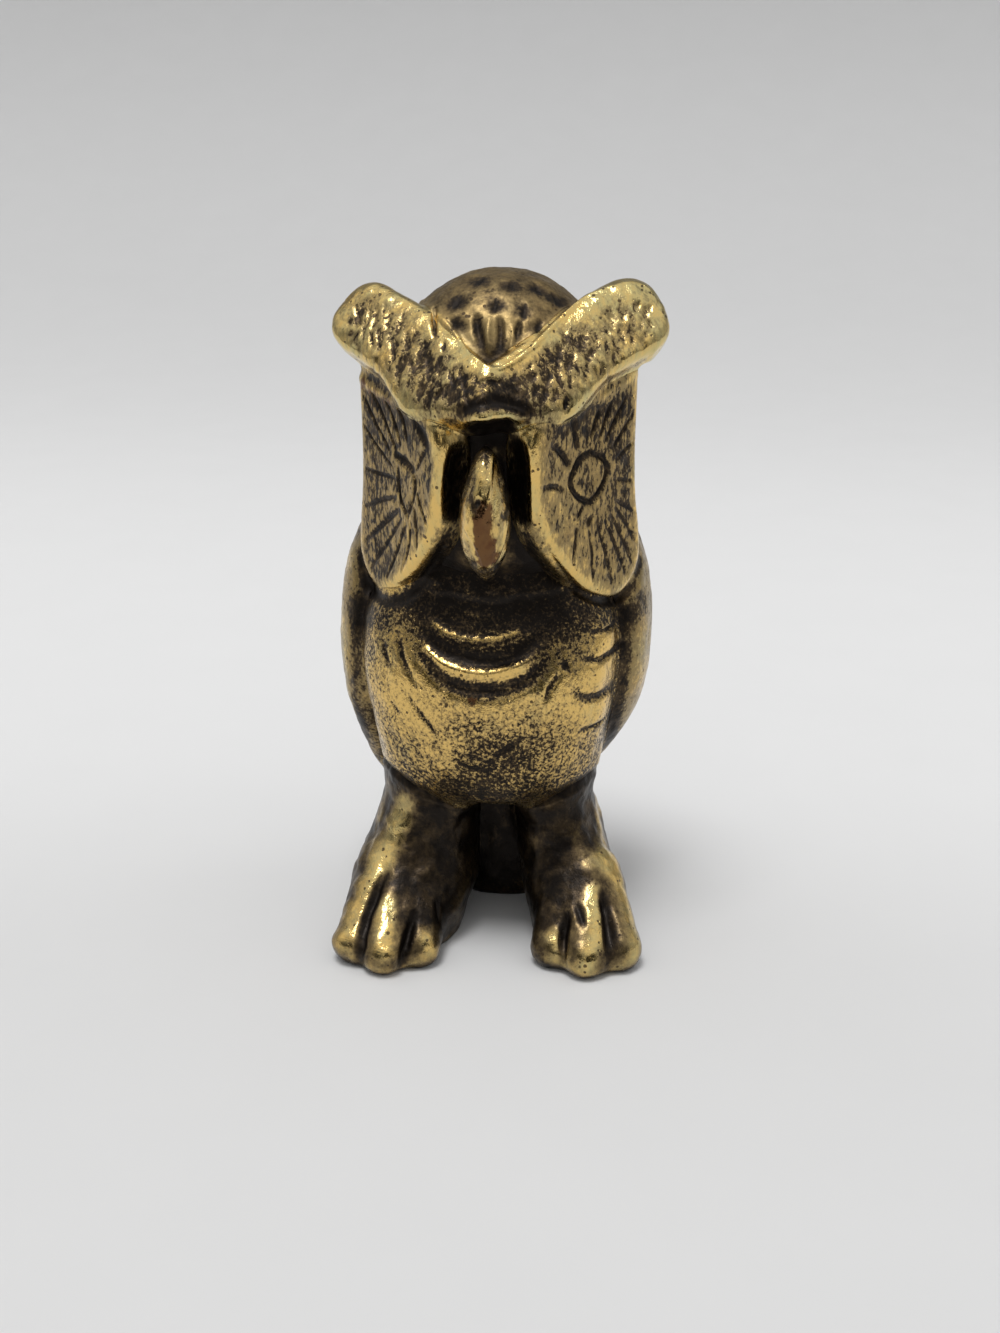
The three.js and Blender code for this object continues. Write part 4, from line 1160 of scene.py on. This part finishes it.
def build(name, cuts, look):
    piece = pieces[name]
    ring, core = piece["rays"]()
    settings = {word: piece[word] for word in ("reach", "depth") if word in piece}
    names = [name, *piece["beside"]]
    grid = castSkin(name, names, ring, core, **settings)
    normals = gridNormals(grid)
    if (normals * (ring - core)).sum() < 0:
        grid = grid[:, ::-1]
        normals = gridNormals(grid)
    shape = grid.shape[:2]
    points = grid.reshape(-1, 3)

    # cuts, then the hand-worked wax under them
    depth, dark = carve(points, cuts)
    bumps = grain(points, wax["bump"], 2) - 0.5 + wax["grainShare"] * (grain(points, wax["grain"], 3) - 0.5)
    worked = wax["lumpHeight"] * (grain(points, wax["lump"], 1) - 0.5) + look["worked"] * bumps
    rough = roughness(name, points)
    height = (worked * rough - depth).reshape(shape)
    rough = rough.reshape(shape)
    away = np.clip(points[:, 2] / 0.6, 0, 1).reshape(shape)  # the soles stay flat
    carved = grid + normals * (height * away)[..., None]
    carved[..., 2] = np.maximum(carved[..., 2], 0)

    # ridges stand out over the mean of 5 and of 14 points round them, less the piece's own roundness
    ridge = 0
    for radius, size in ((5, 0.07), (14, 0.4)):
        relief = ((carved - blur(carved, radius)) * normals).sum(2) / size
        ridge = ridge + 0.5 * np.clip(relief - np.median(relief), -1.2, 1.2)
    gaps = gapsAt(points, names)
    # painted shade: darker where other shapes stand close, with the patina that gathers in those creases
    shelterShade = sum(np.exp(-np.maximum(gaps[other], 0) / 1.2) for other in names[1:]).reshape(shape)
    # painted shade with patina: darker inside the niche and on the back of the beak
    y, z = points.T[1:]
    if name == "beak":
        inside = fade(y, -16.4, -14.6)
    else:
        behind = fade(-y, 9, 11) * fade(y - along(z, nicheMouth), 0, 0.7)
        inside = (1 - fade(nicheGap(*points.T), 0.05, 0.3)) * behind
    rear = fade(normals[..., 1], 0.05, 0.7)
    # patina and painted light from the stain rows, the cuts and the niche
    spotsAndPaintedLight = summed(points, stainsAndPaintedLight) + patinaAndShade["cuts"] * dark + patinaAndShade["niche"] * inside
    sootAndPaintedLight = look["sootAndPaintedLight"] + patinaAndShade["rear"] * rear + spotsAndPaintedLight.reshape(shape)
    sootAndPaintedLight = sootAndPaintedLight + patinaAndShade["shelterShade"] * np.clip(shelterShade - 0.12, 0, 1.3)
    # painted shade: surfaces that face down are darker
    sootAndPaintedLight = sootAndPaintedLight + patinaAndShade["undersideShade"] * np.clip(-normals[..., 2], 0, 1)
    sootAndPaintedLight = sootAndPaintedLight - look["polish"] * patinaAndShade["ridge"] * np.clip(ridge, -0.8, 1)
    sootAndPaintedLight = sootAndPaintedLight - patinaAndShade["rims"] * (1 - rough) * (1 - 0.8 * rear)
    over = np.maximum(sootAndPaintedLight - patinaAndShade["thick"], 0)
    sootAndPaintedLight = sootAndPaintedLight - (1 - patinaAndShade["flecked"]) * over
    warm = summed(points, coppery).reshape(shape)
    return carved, dict(sootAndPaintedLight=np.clip(sootAndPaintedLight, -0.9, 1.1), warm=np.clip(warm, 0, 1))


def pieceKind(name):
    return name.split("_", 1)[1].replace("face_disc", "face") if "_" in name else name


def makeOwl():
    cuts = marksOnSkin()
    print("marks laid on the skin:", len(cuts))
    for name in pieces:
        kind = pieceKind(name)
        look = dict(zip(looks, finishes[kind]))
        grid, layers = build(name, cuts, look)
        piece = addMesh(name + "_cast", grid, layers)
        piece.data.materials.append(agedBrass(name + "Brass", look))
        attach(piece, "root")
        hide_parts(name)
        print(name, "made of", grid.shape[0] * grid.shape[1], "points")


# Floor that curves up into a backdrop: a flat run, a quarter circle and an upright run, in metres;
# then its grey in front of the owl, beside it, behind it and on the wall, painted darker in front,
# behind and up the wall as painted shade of the light's falloff
studio = dict(
    near=-1.2, turn=0.3, radius=0.55, top=1.4, half=1.6,
    front=0.71, middle=0.79, far=0.62, wall=0.48,
)


def makeStudio():
    angle = np.linspace(0, np.pi / 2, 40)
    radius, turn = studio["radius"], studio["turn"]
    y = np.array([studio["near"], *(turn + radius * np.sin(angle)), turn + radius])
    z = np.array([0, *(radius * (1 - np.cos(angle))), studio["top"]])
    x = np.array([-studio["half"], studio["half"]])
    points = np.stack(np.broadcast_arrays(x, y[:, None], z[:, None]), -1)
    i = np.arange(len(y) - 1)[:, None] * 2
    faces = i + np.array([[0, 1, 3, 2]])
    mesh = bpy.data.meshes.new("studioSweep")
    mesh.from_pydata(points.reshape(-1, 3).tolist(), [], faces.tolist())
    mesh.shade_smooth()
    sweep = bpy.data.objects.new("studioSweep", mesh)
    bpy.context.scene.collection.objects.link(sweep)
    s = Shading(bpy.data.materials.new("studioPaint"))
    place = s.node("ShaderNodeTexCoord", None, (), "Object")
    fibre = s.node("ShaderNodeTexNoise", None, dict(Vector=place, Scale=60, Detail=3))
    _, back, up = s.split(place)
    # painted shade: the grey falls off in front, farther back and up the wall
    level = back.step(-0.03, 0.05) * (studio["middle"] - studio["front"]) + studio["front"]
    level = level + back.step(0.1, 0.5) * (studio["far"] - studio["middle"])
    level = level + up.step(0.0, 0.3) * (studio["wall"] - studio["far"]) - fibre * 0.02
    grey = s.node("ShaderNodeCombineColor", None, [level, level, level])
    mesh.materials.append(s.finish(Base_Color=grey, Roughness=0.9))


# Light: the sky of a light tent, open and darker on the camera's side, and one large soft lamp
light = dict(
    top=0.82, side=0.4, front=0.03, glow=1.1, glowHeight=0.32, glowSize=(0.11, 0.16),
    sunStrength=1.4, sunAngle=20, sunFrom=(-0.1, -0.2, 1),
)


def makeLight():
    world = bpy.data.worlds.new("tent")
    world.use_nodes = True
    bpy.context.scene.world = world
    s = Shading(world, "Background")
    x, y, z = s.split(s.node("ShaderNodeTexCoord", None, (), "Generated"))
    opening = (y * -1).step(0.25, 0.75) * z.step(0.75, 0.35)
    level = z.step(0.1, 0.8) * (light["top"] - light["side"]) + light["side"]
    level = level * (1 - opening) + opening * light["front"]
    wide, high = light["glowSize"]
    glow = (x / wide) ** 2 + ((z - light["glowHeight"]) / high) ** 2
    level = level + glow.step(1.4, 0.3) * (y * -1).step(0, 0.5) * light["glow"]
    s.finish(Strength=level, Color=tint(1, 1, 1))
    data = bpy.data.lights.new("softLamp", "SUN")
    data.energy = light["sunStrength"]
    data.angle = math.radians(light["sunAngle"])
    lamp = bpy.data.objects.new("softLamp", data)
    lamp.rotation_euler = Vector(light["sunFrom"]).to_track_quat("Z", "Y").to_euler()
    bpy.context.scene.collection.objects.link(lamp)


makeCamera()
print("camera set")
makeOwl()
print("owl cast and finished")
makeStudio()
makeLight()
print("studio lit")
bpy.context.scene.view_settings.view_transform = "Standard"
